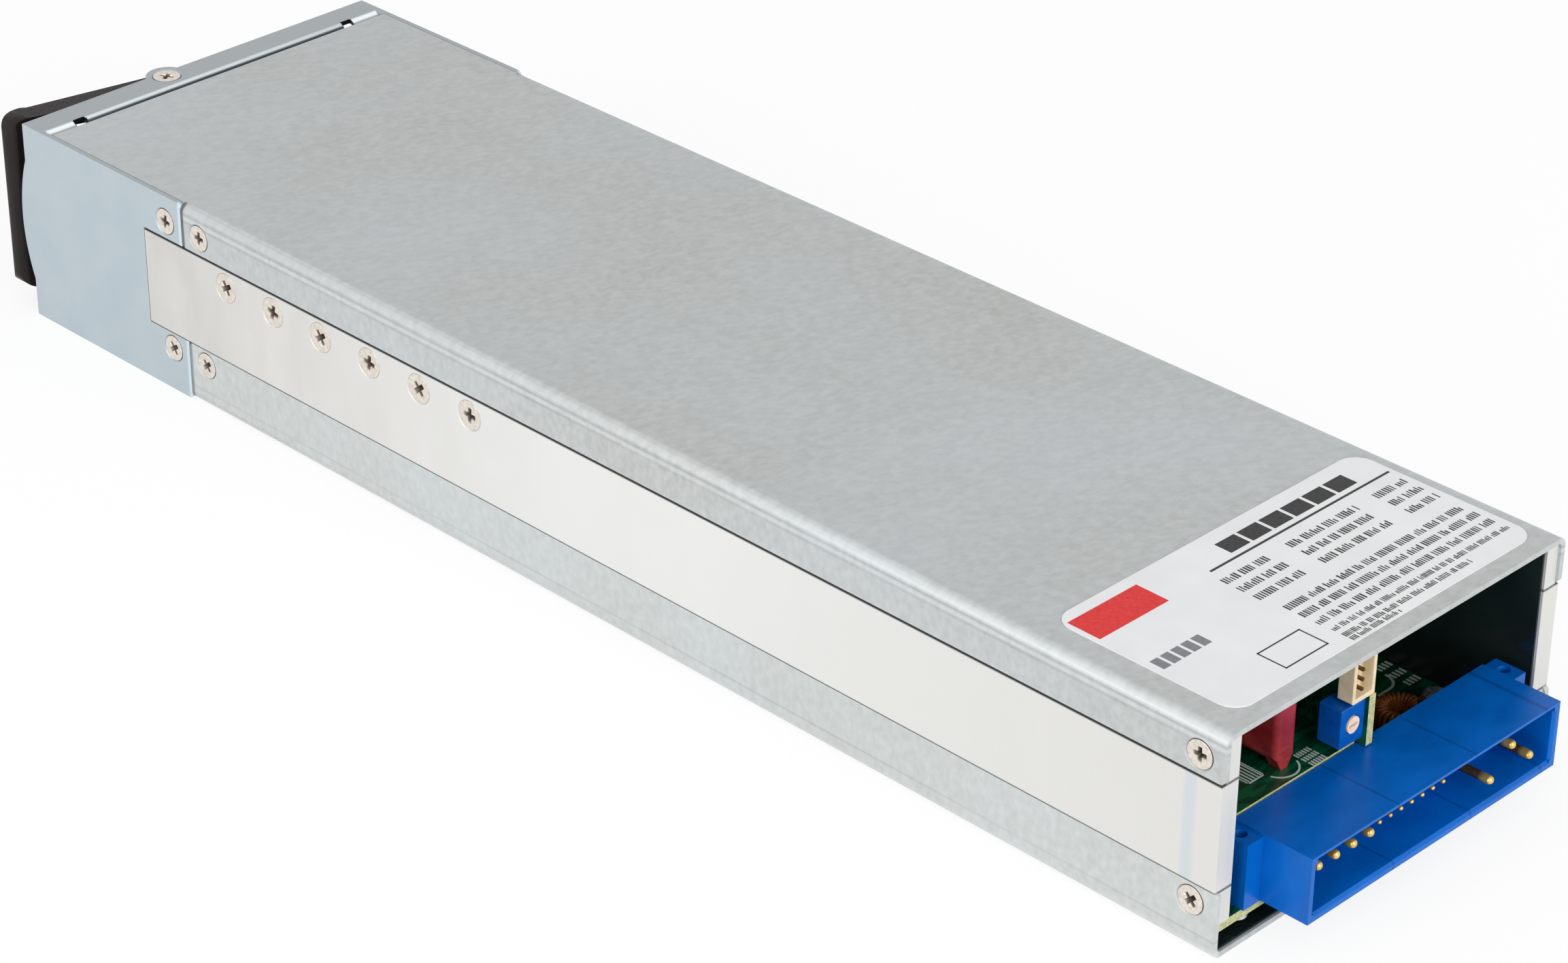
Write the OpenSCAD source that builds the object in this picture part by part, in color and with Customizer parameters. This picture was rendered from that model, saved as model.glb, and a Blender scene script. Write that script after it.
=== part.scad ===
// Slim rack power supply module: a long 1U sheet-metal case with two fans and
// a folding pull handle at the front and a hot-plug connector at the rear.
// +X is the right-hand side seen from the front, +Y points to the rear, +Z is
// up, and the origin is the middle of the case's bottom face.

/* [Case] */
// Width of the case
case_w = 85; // [84:1:100]
// Height of the case
case_h = 41; // [41:0.5:46]
// Length of the case, front lip to rear edge
case_l = 300; // [280:5:340]
// Thickness of the steel sheet of covers and front housing
sheet_t = 1; // [0.8:0.1:1.2]
// Outside radius of the bends along the covers' edges
bend_r = 1.8; // [1.3:0.1:2.5]
// Height of the top cover's side flanges
top_flange_h = 8.8; // [8.4:0.1:10]
// Height of the bottom cover's side flanges
bottom_flange_h = 12.2; // [11.8:0.1:13]
// Corner radius at the ends of the side flanges
flange_corner_r = 1; // [0.5:0.1:2]
// Visible joint between a cover and its neighbour
seam_gap = 0.15; // [0.1:0.05:0.3]

/* [Side plates] */
// Full thickness of an aluminium side plate
plate_t = 4; // [3.5:0.1:5]
// Distance from the case's rear edge to the plate's rear end
plate_rear_set = 0.5; // [0.2:0.1:2]

/* [Front housing] */
// Length of the housing's side walls
housing_l = 48.6; // [46:0.2:55]
// Length of the slot that a side plate's strip fills
strip_slot_l = 11.5; // [10:0.5:14]
// Depth of the lip in front of the fan guard
lip_d = 7.1; // [6.8:0.1:9]
// How far the side walls bulge forward at mid height
bulge_d = 2.4; // [1:0.1:2.4]
// Height of the bulged stretch
bulge_h = 25.5; // [20:0.5:28]
// Width of the lip's middle tongue
tongue_w = 64; // [60:1:66]
// Width of the relief notch beside the tongue
relief_w = 2.6; // [1.5:0.1:3]
// Width of the joint between lip and top cover
lip_gap = 1.2; // [0.2:0.05:1.5]

/* [Handle] */
// Distance of the pivot to the right of the middle
pivot_x = 8.8; // [6:0.1:12]
// Distance of the pivot behind the lip's front edge
pivot_set = 1.6; // [1:0.1:2]
// Radius of the handle's hub and of the lip's round ear over it
hub_r = 4.1; // [3.7:0.1:4.2]
// Radius of the grip's rounded section
grip_r = 2.2; // [1.8:0.1:2.3]
// Width of the grip between the centres of its round edges
grip_w = 2.6; // [2:0.1:4]
// Thickness of a handle arm
arm_t = 3.4; // [3:0.1:4]
// How far the grip stands in front of the lip
grip_reach = 8.6; // [7.3:0.1:9]
// Height of the handle's underside above the case's bottom
handle_z0 = 3.3; // [2.8:0.1:6]
// Outer corner radius of the handle
handle_corner_r = 4; // [3:0.5:6]

/* [Screws] */
// Diameter of all machine screws
screw_d = 3; // [2.5:0.1:3.2]
// Head of the screws that hold covers and housing
cover_head_d = 5.6; // [5:0.1:5.8]
// Head of the transistor and handle screws
power_head_d = 6; // [5.5:0.1:6.2]
// Radial play between a screw and its hole
screw_play = 0.05; // [0.02:0.01:0.1]

/* [Fans] */
// Side of a fan frame
fan_size = 38; // [36:0.5:38]
// Depth of a fan frame
fan_depth = 28; // [25:0.5:28]
// Radius of a rotor's hub
rotor_hub_r = 8.5; // [7:0.5:10]
// Number of blades on a rotor
blade_count = 7; // [5:1:9]
// Gap between blade tips and duct
tip_gap = 0.5; // [0.3:0.1:1]

/* [Boards] */
// Thickness of the printed boards
board_t = 1.6; // [1.2:0.1:1.8]
// Height of the main board's underside above the case's bottom
board_z0 = 4.2; // [3.8:0.1:4.6]
// Thickness of the insulating films
film_t = 0.4; // [0.2:0.1:0.6]

/* [Rear connector] */
// Width of the shroud
shroud_w = 63.4; // [58:0.2:66]
// Top of the connector above the case's bottom
connector_top = 18.4; // [17.8:0.1:19]
// How far the shroud stands out behind the case
shroud_reach = 9.4; // [8:0.2:14]
// Wall of the shroud
shroud_wall = 1.4; // [1:0.1:1.6]
// Depth of the connector's body on the board
connector_d = 6; // [5:0.2:8]
// Width of each mounting ear
ear_w = 3.7; // [3.4:0.1:3.9]
// Diameter of a power pin
power_pin_d = 1.6; // [1.2:0.1:2]
// Diameter of a signal pin
signal_pin_d = 0.8; // [0.6:0.1:1.2]

/* [Label] */
// Width of the rating label
label_w = 75.6; // [50:0.2:78]
// Length of the rating label
label_l = 37.4; // [20:0.2:60]
// Corner radius of the label
label_r = 4; // [1:0.5:8]

/* [Hidden] */
$fn = 64;

// Main planes of the case
front_y = -case_l / 2;
rear_y = case_l / 2;
side_x = case_w / 2;
wall_x = side_x - sheet_t;
plate_in_x = side_x - plate_t;
cover_under_z = case_h - sheet_t;
board_top = board_z0 + board_t;
strip_z0 = bottom_flange_h + 0.1;
strip_z1 = case_h - top_flange_h - 0.4;
flange_y0 = front_y + housing_l + seam_gap;
plate_y0 = front_y + housing_l - strip_slot_l;
plate_y1 = rear_y - plate_rear_set;
eps = 0.01;

// Front lip, fan guard and top cover's front edge
guard_y0 = front_y + lip_d - sheet_t;
guard_y1 = front_y + lip_d;
cover_y0 = guard_y1 + lip_gap;
relief_depth = 1.7;
lip_bend_r = sheet_t + 0.3;
relief_h = lip_bend_r + 0.6;
land_run = 1.5;
land_drop = 0.9 * sheet_t;

// Place across the case, as a share of the way from its middle to a side plate's inner face
function across(share) = share * plate_in_x;

// Countersunk screws in the sides, given as [y, z]
upper_screw_z = case_h - 5.4;
lower_screw_z = 8.9;
housing_screw_y = front_y + housing_l - 5;
cover_screw_front_y = flange_y0 + 4.8;
cover_screw_rear_y = rear_y - 5.2;
housing_screw_spots = [for (z = [lower_screw_z, upper_screw_z]) [housing_screw_y, z]];
cover_screw_spots = [
    for (y = [cover_screw_front_y, cover_screw_rear_y], z = [lower_screw_z, upper_screw_z]) [y, z]
];

// Row of transistors screwed to the right side plate
transistor_count = 6;
transistor_pitch = 13.56;
transistor_y0 = flange_y0 + 12.25;
transistor_z = strip_z1 - 3.75;
pad_t = 0.3;
tab_t = 1.3;
nut_t = 2.4;
nut_af = 5.5;
transistor_ys = [for (i = [0:transistor_count - 1]) transistor_y0 + i * transistor_pitch];
transistor_screw_l = plate_t + pad_t + tab_t + nut_t + 0.5;

// Handle, laid over against the lip
pivot_y = front_y + pivot_set;
lip_play = 0.25;
handle_z1 = cover_under_z - lip_play;
grip_y = front_y - grip_reach + grip_r;
grip_x1 = side_x - grip_r;
grip_x0 = grip_x1 - grip_w;
pivot_play = 0.08;
sink_r = (power_head_d - screw_d) / 2 + screw_d / 2 - sheet_t + 0.3;
sink_d = (power_head_d - screw_d) / 2 - sheet_t - lip_play + 0.25;
nut_play = 0.15;
locknut_t = 3;

// Fans
fan_pitch = fan_size + 0.6;
fan_z = case_h / 2;
fan_y0 = guard_y1;
fan_y1 = fan_y0 + fan_depth;
fan_flange_t = 3.5;
duct_r = fan_size / 2 - 1.4;
fan_corner_r = 2.5;
fan_hole_pitch = fan_size - 7;
fan_hole_d = 3.4;
fan_screw_l = 9;
fan_hub_gap = 1;
motor_plate_t = 2.5;
strut_w = 2.2;
bearing_r = 2.6;
shaft_r = 1;
shaft_play = 0.05;
rotor_front = 2;
rotor_wall = 1.3;
blade_t = 1.1;
blade_sweep = 42;
blade_z0 = 3.5;
blade_z1 = fan_depth - motor_plate_t - 3;
fan_xs = [fan_pitch / 2, -fan_pitch / 2];
guard_web = 1.3;
guard_rings = 3;
guard_hub_r = 4.5;
guard_slot = (duct_r - guard_hub_r - (guard_rings - 1) * guard_web) / guard_rings;

// Status lights, between the left fan and the left wall
pipe_r = 1;
pipe_head_r = 1.35;
pipe_head_t = 0.5;
pipe_x = -(wall_x - pipe_head_r - 0.1);
pipe_zs = [for (i = [-1:1]) case_h / 2 + i * 6.5];
led_t = 0.6;
led_w = 1.6;
led_board_t = 1;
led_board_y1 = plate_y0 - 0.05;
led_board_y0 = led_board_y1 - led_board_t;
led_board_x1 = -(fan_pitch + fan_size) / 2 - 0.3;
led_board_top = case_h / 2 + 10;

// Main board and its fixings, given as [x, y]
board_side_gap = 0.1;
board_y0 = fan_y1 + 0.4;
board_y1 = rear_y - 0.7;
standoff_r = 2.75;
post_hole_r = 1.5;
pan_head_r = 2.7;
pan_head_t = 1.8;
film_hole_r = standoff_r + 0.2;
standoff_spots = [
    [across(-0.1), front_y + 42], [across(0.78), front_y + 46], [across(-0.05), front_y + 112],
    [across(-0.78), front_y + 160], [across(0.78), rear_y - 16], [across(-0.87), rear_y - 16]
];

// Rear connector
connector_y0 = rear_y - 0.2 - connector_d;
ear_y1 = rear_y - 0.2;
shroud_y1 = rear_y + shroud_reach;
shroud_z0 = board_top + 0.3;
shroud_floor = 0.3;
ear_x = shroud_w / 2 + ear_w / 2;
ear_hole_r = 1.1;
ear_step_h = 0.5;
rim_chamfer = 0.5;
top_wall = 0.5;
top_wall_run = 5;
pin_upper_z = connector_top - 3.7;
pin_lower_z = connector_top - 8.1;
power_pitch = 4.25;
signal_pitch = 2.7;
power_x1 = shroud_w / 2 - shroud_wall - 2.3;
signal_x1 = power_x1 - 3 * power_pitch - 3.35;
mains_x0 = 5.8 - shroud_w / 2;
power_tip_y = shroud_y1 - 0.9;
mains_tip_y = shroud_y1 - 0.4;
signal_tip_y = shroud_y1 - 2;
upper_tail_y = connector_y0 - 3.2;
lower_tail_y = connector_y0 - 1.4;
tail_below = 1;
tail_share = 0.8;
pin_play = 0.03;
// [x, z, tip y, tail y]
power_pins = concat(
    [for (i = [0:3]) [power_x1 - i * power_pitch, pin_upper_z, power_tip_y, upper_tail_y]],
    [[mains_x0 + 5.3, pin_upper_z, mains_tip_y, upper_tail_y]],
    [for (x = [mains_x0 + 10.5, mains_x0]) [x, pin_lower_z, mains_tip_y, lower_tail_y]]
);
signal_pins = [for (i = [0:6]) [signal_x1 - i * signal_pitch, pin_upper_z, signal_tip_y, upper_tail_y]];

// Upper board behind the connector's right half, on two spacers and the control board
upper_board_y0 = rear_y - 26;
upper_board_y1 = connector_y0 - 0.2;
upper_top = connector_top + 0.3;
upper_z0 = upper_top - board_t;
spacer_af = 5.5;
upper_spots = [for (y = [3.5, 15.5]) [plate_in_x - 4, upper_board_y0 + y]];

// Upright control board, which reaches out over the connector, with its trimmer and socket
control_x = board_t;
control_y1 = rear_y - 4.2;
control_l = 40;
control_z1 = cover_under_z - 1.5;
control_foot_y1 = upper_tail_y - 1.5;
trimmer_w = 6;
trimmer_l = 4.7;
trimmer_h = 7.3;
trimmer_z0 = upper_top + 1.5;
adjuster_r = 1.5;
adjuster_t = 1;
adjuster_play = 0.06;
adjuster_proud = 0.15;
adjuster_z = trimmer_z0 + trimmer_h / 2;
adjuster_x = control_x + trimmer_w / 2;
trimmer_y1 = control_y1 - 0.65;
socket_w = 5.7;
socket_l = 3.2;
socket_wall = 0.8;
socket_y1 = control_y1 - 0.2;
socket_z0 = trimmer_z0 + trimmer_h + 0.5;
socket_h = control_z1 - socket_z0;
socket_pins = 5;
socket_pitch = 1.8;

// Rating label
label_t = 0.15;
label_x = -1.4;
label_y1 = rear_y - 3.4;

// 2D profile carried along Y from y0; the profile's axes are X and Z.
module along_y(y0, len) {
    translate([0, y0 + len, 0]) rotate([90, 0, 0]) linear_extrude(len) children();
}

// 2D profile carried along X from x0; the profile's axes are Y and Z.
module along_x(x0, len) {
    translate([x0, 0, 0]) rotate([90, 0, 90]) linear_extrude(len) children();
}

// Block between two opposite corners.
module block(low, high) {
    translate(low) cube(high - low);
}

// Rectangle between two corners with exact round corners.
module round_rect(low, high, r) {
    translate([low.x + r, low.y]) square([high.x - low.x - 2 * r, high.y - low.y]);
    translate([low.x, low.y + r]) square([high.x - low.x, high.y - low.y - 2 * r]);
    for (x = [low.x + r, high.x - r], y = [low.y + r, high.y - r]) translate([x, y]) circle(r);
}

// Two circles joined by their outer tangents.
module tangent_arm(p, rp, q, rq) {
    d = norm(q - p);
    a = atan2(q.y - p.y, q.x - p.x);
    o = acos((rp - rq) / d);
    translate(p) circle(rp);
    translate(q) circle(rq);
    polygon([
        p + rp * [cos(a + o), sin(a + o)], p + rp * [cos(a - o), sin(a - o)],
        q + rq * [cos(a - o), sin(a - o)], q + rq * [cos(a + o), sin(a + o)]
    ]);
}

// Countersunk screw: head flush at z = 0, shank running down.
module flat_screw(head_d, len) {
    sink = (head_d - screw_d) / 2;
    recess = screw_d * 0.92;
    slot = screw_d * 0.28;
    difference() {
        union() {
            translate([0, 0, -sink]) cylinder(h = sink, d1 = screw_d, d2 = head_d);
            translate([0, 0, -len]) cylinder(h = len - sink + eps, d = screw_d);
        }
        translate([-recess / 2, -slot / 2, -sink * 0.8]) cube([recess, slot, sink]);
        translate([-slot / 2, -recess / 2, -sink * 0.8]) cube([slot, recess, sink]);
    }
}

// Room for a flat_screw, with play all round.
module flat_screw_hole(head_d, len) {
    sink = (head_d - screw_d) / 2;
    translate([0, 0, -sink]) {
        cylinder(h = sink + eps, d1 = screw_d + 2 * screw_play, d2 = head_d + 2 * screw_play);
    }
    translate([0, 0, -len - eps]) cylinder(h = len + eps, d = screw_d + 2 * screw_play);
}

// Puts something that points up on the outside of a side wall: side 1 is right.
module on_side(side, spot) {
    translate([side * side_x, spot[0], spot[1]]) rotate([0, side * 90, 0]) children();
}

// Screw holes shared by the plates, covers and housing.
module side_screw_holes() {
    for (side = [-1, 1]) {
        for (spot = concat(housing_screw_spots, cover_screw_spots)) {
            on_side(side, spot) flat_screw_hole(cover_head_d, plate_t + 1);
        }
    }
}

// Inverted channel section hanging from z = 0, with exact bends.
module channel_section(w, h, r) {
    module arch(w, h, r) {
        translate([-w / 2, -h]) square([w, h - r]);
        translate([-w / 2 + r, -h]) square([w - 2 * r, h]);
        for (s = [-1, 1]) translate([s * (w / 2 - r), -r]) circle(r);
    }
    difference() {
        arch(w, h, r);
        translate([0, -sheet_t]) arch(w - 2 * sheet_t, h, r - sheet_t);
    }
}

// A cover standing with its plate on top and its flanges down.
module cover_shell(flange_h) {
    intersection() {
        along_y(flange_y0, rear_y - flange_y0) channel_section(case_w, flange_h, bend_r);
        along_x(-side_x, case_w) {
            round_rect([flange_y0, -flange_h], [rear_y, 3 * flange_corner_r], flange_corner_r);
        }
    }
    inner_w = case_w - 2 * sheet_t - 2 * seam_gap;
    block([-inner_w / 2, cover_y0, -sheet_t], [inner_w / 2, flange_y0 + bend_r + eps, 0]);
}

module top_cover() {
    color("silver") difference() {
        translate([0, 0, case_h]) cover_shell(top_flange_h);
        side_screw_holes();
    }
}

module bottom_cover() {
    color("darkgray") difference() {
        mirror([0, 0, 1]) cover_shell(bottom_flange_h);
        side_screw_holes();
        for (p = standoff_spots) {
            translate([p.x, p.y, -eps]) cylinder(h = sheet_t + 2 * eps, r = 2);
        }
    }
}

// Side plate: full thickness in the strip, rebated where sheets lie on it, and
// chamfered at the top so that it clears the inside of the cover's bend.
module side_plate(side) {
    chamfer = bend_r - sheet_t;
    difference() {
        along_y(plate_y0, plate_y1 - plate_y0) mirror([side > 0 ? 0 : 1, 0]) {
            polygon([
                [plate_in_x, board_top], [wall_x, board_top], [wall_x, cover_under_z - chamfer],
                [wall_x - chamfer, cover_under_z], [plate_in_x, cover_under_z]
            ]);
            translate([plate_in_x, strip_z0]) square([plate_t, strip_z1 - strip_z0]);
        }
        side_screw_holes();
        if (side > 0) transistor_screw_holes();
    }
}

module transistor_screw_holes() {
    for (y = transistor_ys) {
        on_side(1, [y, transistor_z]) flat_screw_hole(power_head_d, transistor_screw_l);
    }
}

module right_side_plate() {
    color("gainsboro") side_plate(1);
}

module left_side_plate() {
    color("gainsboro") side_plate(-1);
}

// Outline of a housing side wall in Y and Z.
module housing_wall() {
    wall_y1 = front_y + housing_l;
    bulge_r = (bulge_h * bulge_h / 4 + bulge_d * bulge_d) / (2 * bulge_d);
    difference() {
        union() {
            round_rect([front_y, 0], [wall_y1, case_h], flange_corner_r);
            intersection() {
                translate([front_y - bulge_d + bulge_r, case_h / 2]) circle(bulge_r, $fn = 128);
                translate([front_y - bulge_d, case_h / 2 - bulge_h / 2]) square([bulge_d + 1, bulge_h]);
            }
        }
        translate([plate_y0 - seam_gap, strip_z0 - 0.1]) {
            square([strip_slot_l + 2, strip_z1 - strip_z0 + 0.5]);
        }
    }
}

// Lip over the handle's pivot: a flange with a round ear.
module lip_outline() {
    translate([-side_x + eps, front_y]) square([case_w - 2 * eps, lip_d]);
    translate([pivot_x, pivot_y]) circle(hub_r);
}

// What is cut off the corner between the upper lip and the fan guard: the round of
// the middle tongue's bend, the two relief notches and the sloped lands beside them.
module lip_cuts() {
    half = tongue_w / 2;
    along_x(-half - eps, tongue_w + 2 * eps) difference() {
        translate([guard_y1 - lip_bend_r, case_h - lip_bend_r]) square(lip_bend_r + eps);
        translate([guard_y1 - lip_bend_r, case_h - lip_bend_r]) circle(lip_bend_r);
    }
    for (m = [0, 1]) mirror([m, 0, 0]) {
        block(
            [half, guard_y1 - relief_depth, case_h - relief_h], [half + relief_w, guard_y1 + 1, case_h + 1]
        );
        along_x(half + relief_w - eps, wall_x - half - relief_w + eps) polygon([
            [guard_y1 - land_run, case_h + eps], [guard_y1 + eps, case_h + eps],
            [guard_y1 + eps, case_h - land_drop]
        ]);
    }
}

// Ring slots of one stamped finger guard, pointing up.
module guard_slots() {
    difference() {
        for (i = [0:guard_rings - 1]) {
            r = guard_hub_r + i * (guard_slot + guard_web);
            difference() {
                cylinder(h = sheet_t + 2, r = r + guard_slot);
                translate([0, 0, -1]) cylinder(h = sheet_t + 4, r = r);
            }
        }
        for (a = [45, 135]) rotate(a) {
            translate([-fan_size, -guard_web, -1]) cube([2 * fan_size, 2 * guard_web, sheet_t + 4]);
        }
    }
}

// Places something that points up so that it points to the rear at a fan.
module at_fan(x, y = fan_y0) {
    translate([x, y, fan_z]) rotate([-90, 0, 0]) children();
}

module fan_corners() {
    h = fan_hole_pitch / 2;
    for (x = [-h, h], y = [-h, h]) translate([x, y, 0]) children();
}

module front_housing() {
    color("lightsteelblue") difference() {
        union() {
            for (x = [-side_x, wall_x]) along_x(x, sheet_t) housing_wall();
            for (z = [0, cover_under_z]) translate([0, 0, z]) linear_extrude(sheet_t) lip_outline();
            block([-wall_x - eps, guard_y0, eps], [wall_x + eps, guard_y1, case_h - eps]);
        }
        lip_cuts();
        translate([0, 0, case_h]) mirror([0, 0, 1]) lip_cuts();
        for (x = fan_xs) at_fan(x, guard_y0 - 1) {
            guard_slots();
        }
        for (x = fan_xs) at_fan(x, guard_y0) fan_corners() mirror([0, 0, 1]) {
            flat_screw_hole(cover_head_d, fan_screw_l);
        }
        for (z = pipe_zs) translate([pipe_x, guard_y0 - 1, z]) rotate([-90, 0, 0]) {
            cylinder(h = sheet_t + 2, r = pipe_r + 0.05);
        }
        for (m = [0, 1]) translate([pivot_x, pivot_y, m * case_h]) mirror([0, 0, 1 - m]) {
            flat_screw_hole(power_head_d, 2 * sheet_t);
        }
        side_screw_holes();
    }
}

// The handle's outline seen from above.
module handle_plan() {
    tangent_arm([pivot_x, pivot_y], hub_r - 0.3, [grip_x1, grip_y], grip_r);
    tangent_arm([grip_x0, grip_y], grip_r, [grip_x1, grip_y], grip_r);
}

module pull_handle() {
    hub_z0 = sheet_t + lip_play;
    lower_arm_z1 = handle_z0 + arm_t;
    color("dimgray") difference() {
        union() {
            intersection() {
                translate([0, 0, handle_z0]) linear_extrude(handle_z1 - handle_z0) handle_plan();
                along_y(front_y - 2 * grip_reach, 4 * grip_reach) {
                    round_rect([-side_x, handle_z0], [side_x, handle_z1], handle_corner_r);
                }
            }
            translate([pivot_x, pivot_y, hub_z0]) cylinder(h = handle_z0 - hub_z0 + 1, r = hub_r - 0.3);
        }
        // Finger space between the two arms
        finger_x0 = pivot_x - 2 * hub_r;
        translate([finger_x0, front_y - 3 * grip_reach, lower_arm_z1]) {
            cube([grip_x0 - grip_r - finger_x0, 5 * grip_reach, handle_z1 - arm_t - lower_arm_z1]);
        }
        translate([pivot_x, pivot_y, 0]) {
            cylinder(h = case_h, r = screw_d / 2 + pivot_play);
            translate([0, 0, handle_z1 - sink_d]) cylinder(h = sink_d + 1, r = sink_r);
            translate([0, 0, hub_z0 - 1]) cylinder(h = sink_d + 1, r = sink_r);
        }
    }
}

// Lengths of the two pivot screws, head to tip
upper_pivot_l = case_h - handle_z1 + arm_t + nut_play + locknut_t + 0.5;
lower_pivot_l = handle_z0 + arm_t + nut_play + locknut_t + 0.5;

module handle_pivot_screws() {
    color("wheat") {
        translate([pivot_x, pivot_y, case_h]) flat_screw(power_head_d, upper_pivot_l);
        translate([pivot_x, pivot_y, 0]) mirror([0, 0, 1]) flat_screw(power_head_d, lower_pivot_l);
    }
}

// Hexagon nut standing on z = 0.
module nut(h) {
    difference() {
        cylinder(h = h, d = nut_af / cos(30), $fn = 6);
        translate([0, 0, -1]) cylinder(h = h + 2, d = screw_d + 2 * pin_play);
    }
}

module handle_pivot_nuts() {
    color("silver") {
        translate([pivot_x, pivot_y, handle_z1 - arm_t - nut_play - locknut_t]) nut(locknut_t);
        translate([pivot_x, pivot_y, handle_z0 + arm_t + nut_play]) nut(locknut_t);
    }
}

module cover_screws() {
    color("wheat") for (side = [-1, 1], spot = cover_screw_spots) {
        on_side(side, spot) flat_screw(cover_head_d, plate_t);
    }
}

module housing_screws() {
    color("wheat") for (side = [-1, 1], spot = housing_screw_spots) {
        on_side(side, spot) flat_screw(cover_head_d, plate_t);
    }
}

module transistor_screws() {
    color("wheat") for (y = transistor_ys) {
        on_side(1, [y, transistor_z]) flat_screw(power_head_d, transistor_screw_l);
    }
}

// Upright flat package: metal tab with its hole, moulded body and three leads.
module transistor() {
    package_w = 10.2;
    body_h = 9.2;
    body_top = transistor_z - 3.4;
    body_low = body_top - body_h;
    tab_x = plate_in_x - pad_t;
    lead_pitch = 2.54;
    color("dimgray") difference() {
        union() {
            block(
                [tab_x - tab_t, -package_w / 2, body_top - 1], [tab_x, package_w / 2, transistor_z + 2.8]
            );
            block([tab_x - 4.5, -package_w / 2, body_low], [tab_x, package_w / 2, body_top]);
            for (i = [-1:1]) {
                block(
                    [tab_x - 2.8, i * lead_pitch - 0.4, board_top],
                    [tab_x - 2.3, i * lead_pitch + 0.4, body_low + eps]
                );
            }
        }
        translate([tab_x - 5, 0, transistor_z]) rotate([0, 90, 0]) {
            cylinder(h = 6, d = screw_d + 0.6);
        }
    }
}

module transistors() {
    for (y = transistor_ys) translate([0, y, 0]) transistor();
}

module transistor_pads() {
    color("lightgray") for (y = transistor_ys) difference() {
        block([plate_in_x - pad_t, y - 5.8, transistor_z - 13.2], [plate_in_x, y + 5.8, transistor_z + 3.2]);
        translate([plate_in_x - 1, y, transistor_z]) rotate([0, 90, 0]) {
            cylinder(h = 2, d = screw_d + 0.6);
        }
    }
}

module transistor_nuts() {
    color("silver") for (y = transistor_ys) {
        translate([plate_in_x - pad_t - tab_t, y, transistor_z]) rotate([0, -90, 0]) nut(nut_t);
    }
}

// Fan frame: two flanges, a round duct, and a motor plate on four struts.
module fan_frame() {
    module flange_outline() {
        h = fan_size / 2;
        round_rect([-h, -h], [h, h], fan_corner_r);
    }
    difference() {
        union() {
            for (z = [0, fan_depth - fan_flange_t]) {
                translate([0, 0, z]) linear_extrude(fan_flange_t) flange_outline();
            }
            linear_extrude(fan_depth) intersection() {
                circle(duct_r + 1.8);
                flange_outline();
            }
        }
        translate([0, 0, -1]) cylinder(h = fan_depth + 2, r = duct_r);
        translate([0, 0, -1]) fan_corners() cylinder(h = fan_depth + 2, d = fan_hole_d);
        fan_corners() mirror([0, 0, 1]) translate([0, 0, sheet_t]) {
            flat_screw_hole(cover_head_d, fan_screw_l);
        }
    }
    plate_z = fan_depth - motor_plate_t;
    difference() {
        union() {
            translate([0, 0, plate_z]) cylinder(h = motor_plate_t, r = rotor_hub_r);
            translate([0, 0, 6]) cylinder(h = plate_z - 6 + eps, r = bearing_r);
            for (a = [0:90:270]) rotate(a + 20) {
                translate([rotor_hub_r - 1, -strut_w / 2, plate_z]) {
                    cube([duct_r - rotor_hub_r + 1.5, strut_w, motor_plate_t]);
                }
            }
        }
        translate([0, 0, 5]) cylinder(h = plate_z - 5, r = shaft_r + shaft_play);
    }
}

module right_fan_frame() {
    color("dimgray") at_fan(fan_xs[0]) fan_frame();
}

module left_fan_frame() {
    color("dimgray") at_fan(fan_xs[1]) fan_frame();
}

// Rotor: a cup over the motor, a shaft, and twisted blades.
module fan_rotor() {
    cup_z1 = fan_depth - motor_plate_t - fan_hub_gap;
    tip_r = duct_r - tip_gap;
    difference() {
        translate([0, 0, rotor_front]) cylinder(h = cup_z1 - rotor_front, r = rotor_hub_r);
        translate([0, 0, rotor_front + 2]) cylinder(h = fan_depth, r = rotor_hub_r - rotor_wall);
    }
    translate([0, 0, rotor_front + 1]) cylinder(h = cup_z1 - rotor_front - 1, r = shaft_r);
    for (i = [0:blade_count - 1]) rotate(i * 360 / blade_count) translate([0, 0, blade_z0]) {
        linear_extrude(blade_z1 - blade_z0, twist = -blade_sweep, slices = 12, $fn = 0, segments = 8) {
            translate([rotor_hub_r - 0.5, -blade_t / 2]) square([tip_r - rotor_hub_r + 0.5, blade_t]);
        }
    }
}

module right_fan_rotor() {
    color("darkslategray") at_fan(fan_xs[0]) fan_rotor();
}

module left_fan_rotor() {
    color("darkslategray") at_fan(fan_xs[1]) fan_rotor();
}

module fan_screws() {
    color("wheat") for (x = fan_xs) at_fan(x, guard_y0) fan_corners() mirror([0, 0, 1]) {
        flat_screw(cover_head_d, fan_screw_l);
    }
}

module status_light_pipes() {
    pipe_y1 = led_board_y0 - led_t - 0.1;
    color("lightcyan") for (z = pipe_zs) translate([pipe_x, 0, z]) rotate([-90, 0, 0]) {
        translate([0, 0, guard_y0 - pipe_head_t]) cylinder(h = pipe_head_t, r = pipe_head_r);
        translate([0, 0, guard_y0 - eps]) cylinder(h = pipe_y1 - guard_y0 + eps, r = pipe_r);
    }
}

module status_leds() {
    color("white") for (z = pipe_zs) {
        block(
            [pipe_x - led_w / 2, led_board_y0 - led_t, z - led_w / 2],
            [pipe_x + led_w / 2, led_board_y0, z + led_w / 2]
        );
    }
}

module status_led_board() {
    color("darkgreen") {
        block([-wall_x + 0.1, led_board_y0, board_top], [led_board_x1, led_board_y1, led_board_top]);
    }
}

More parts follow.
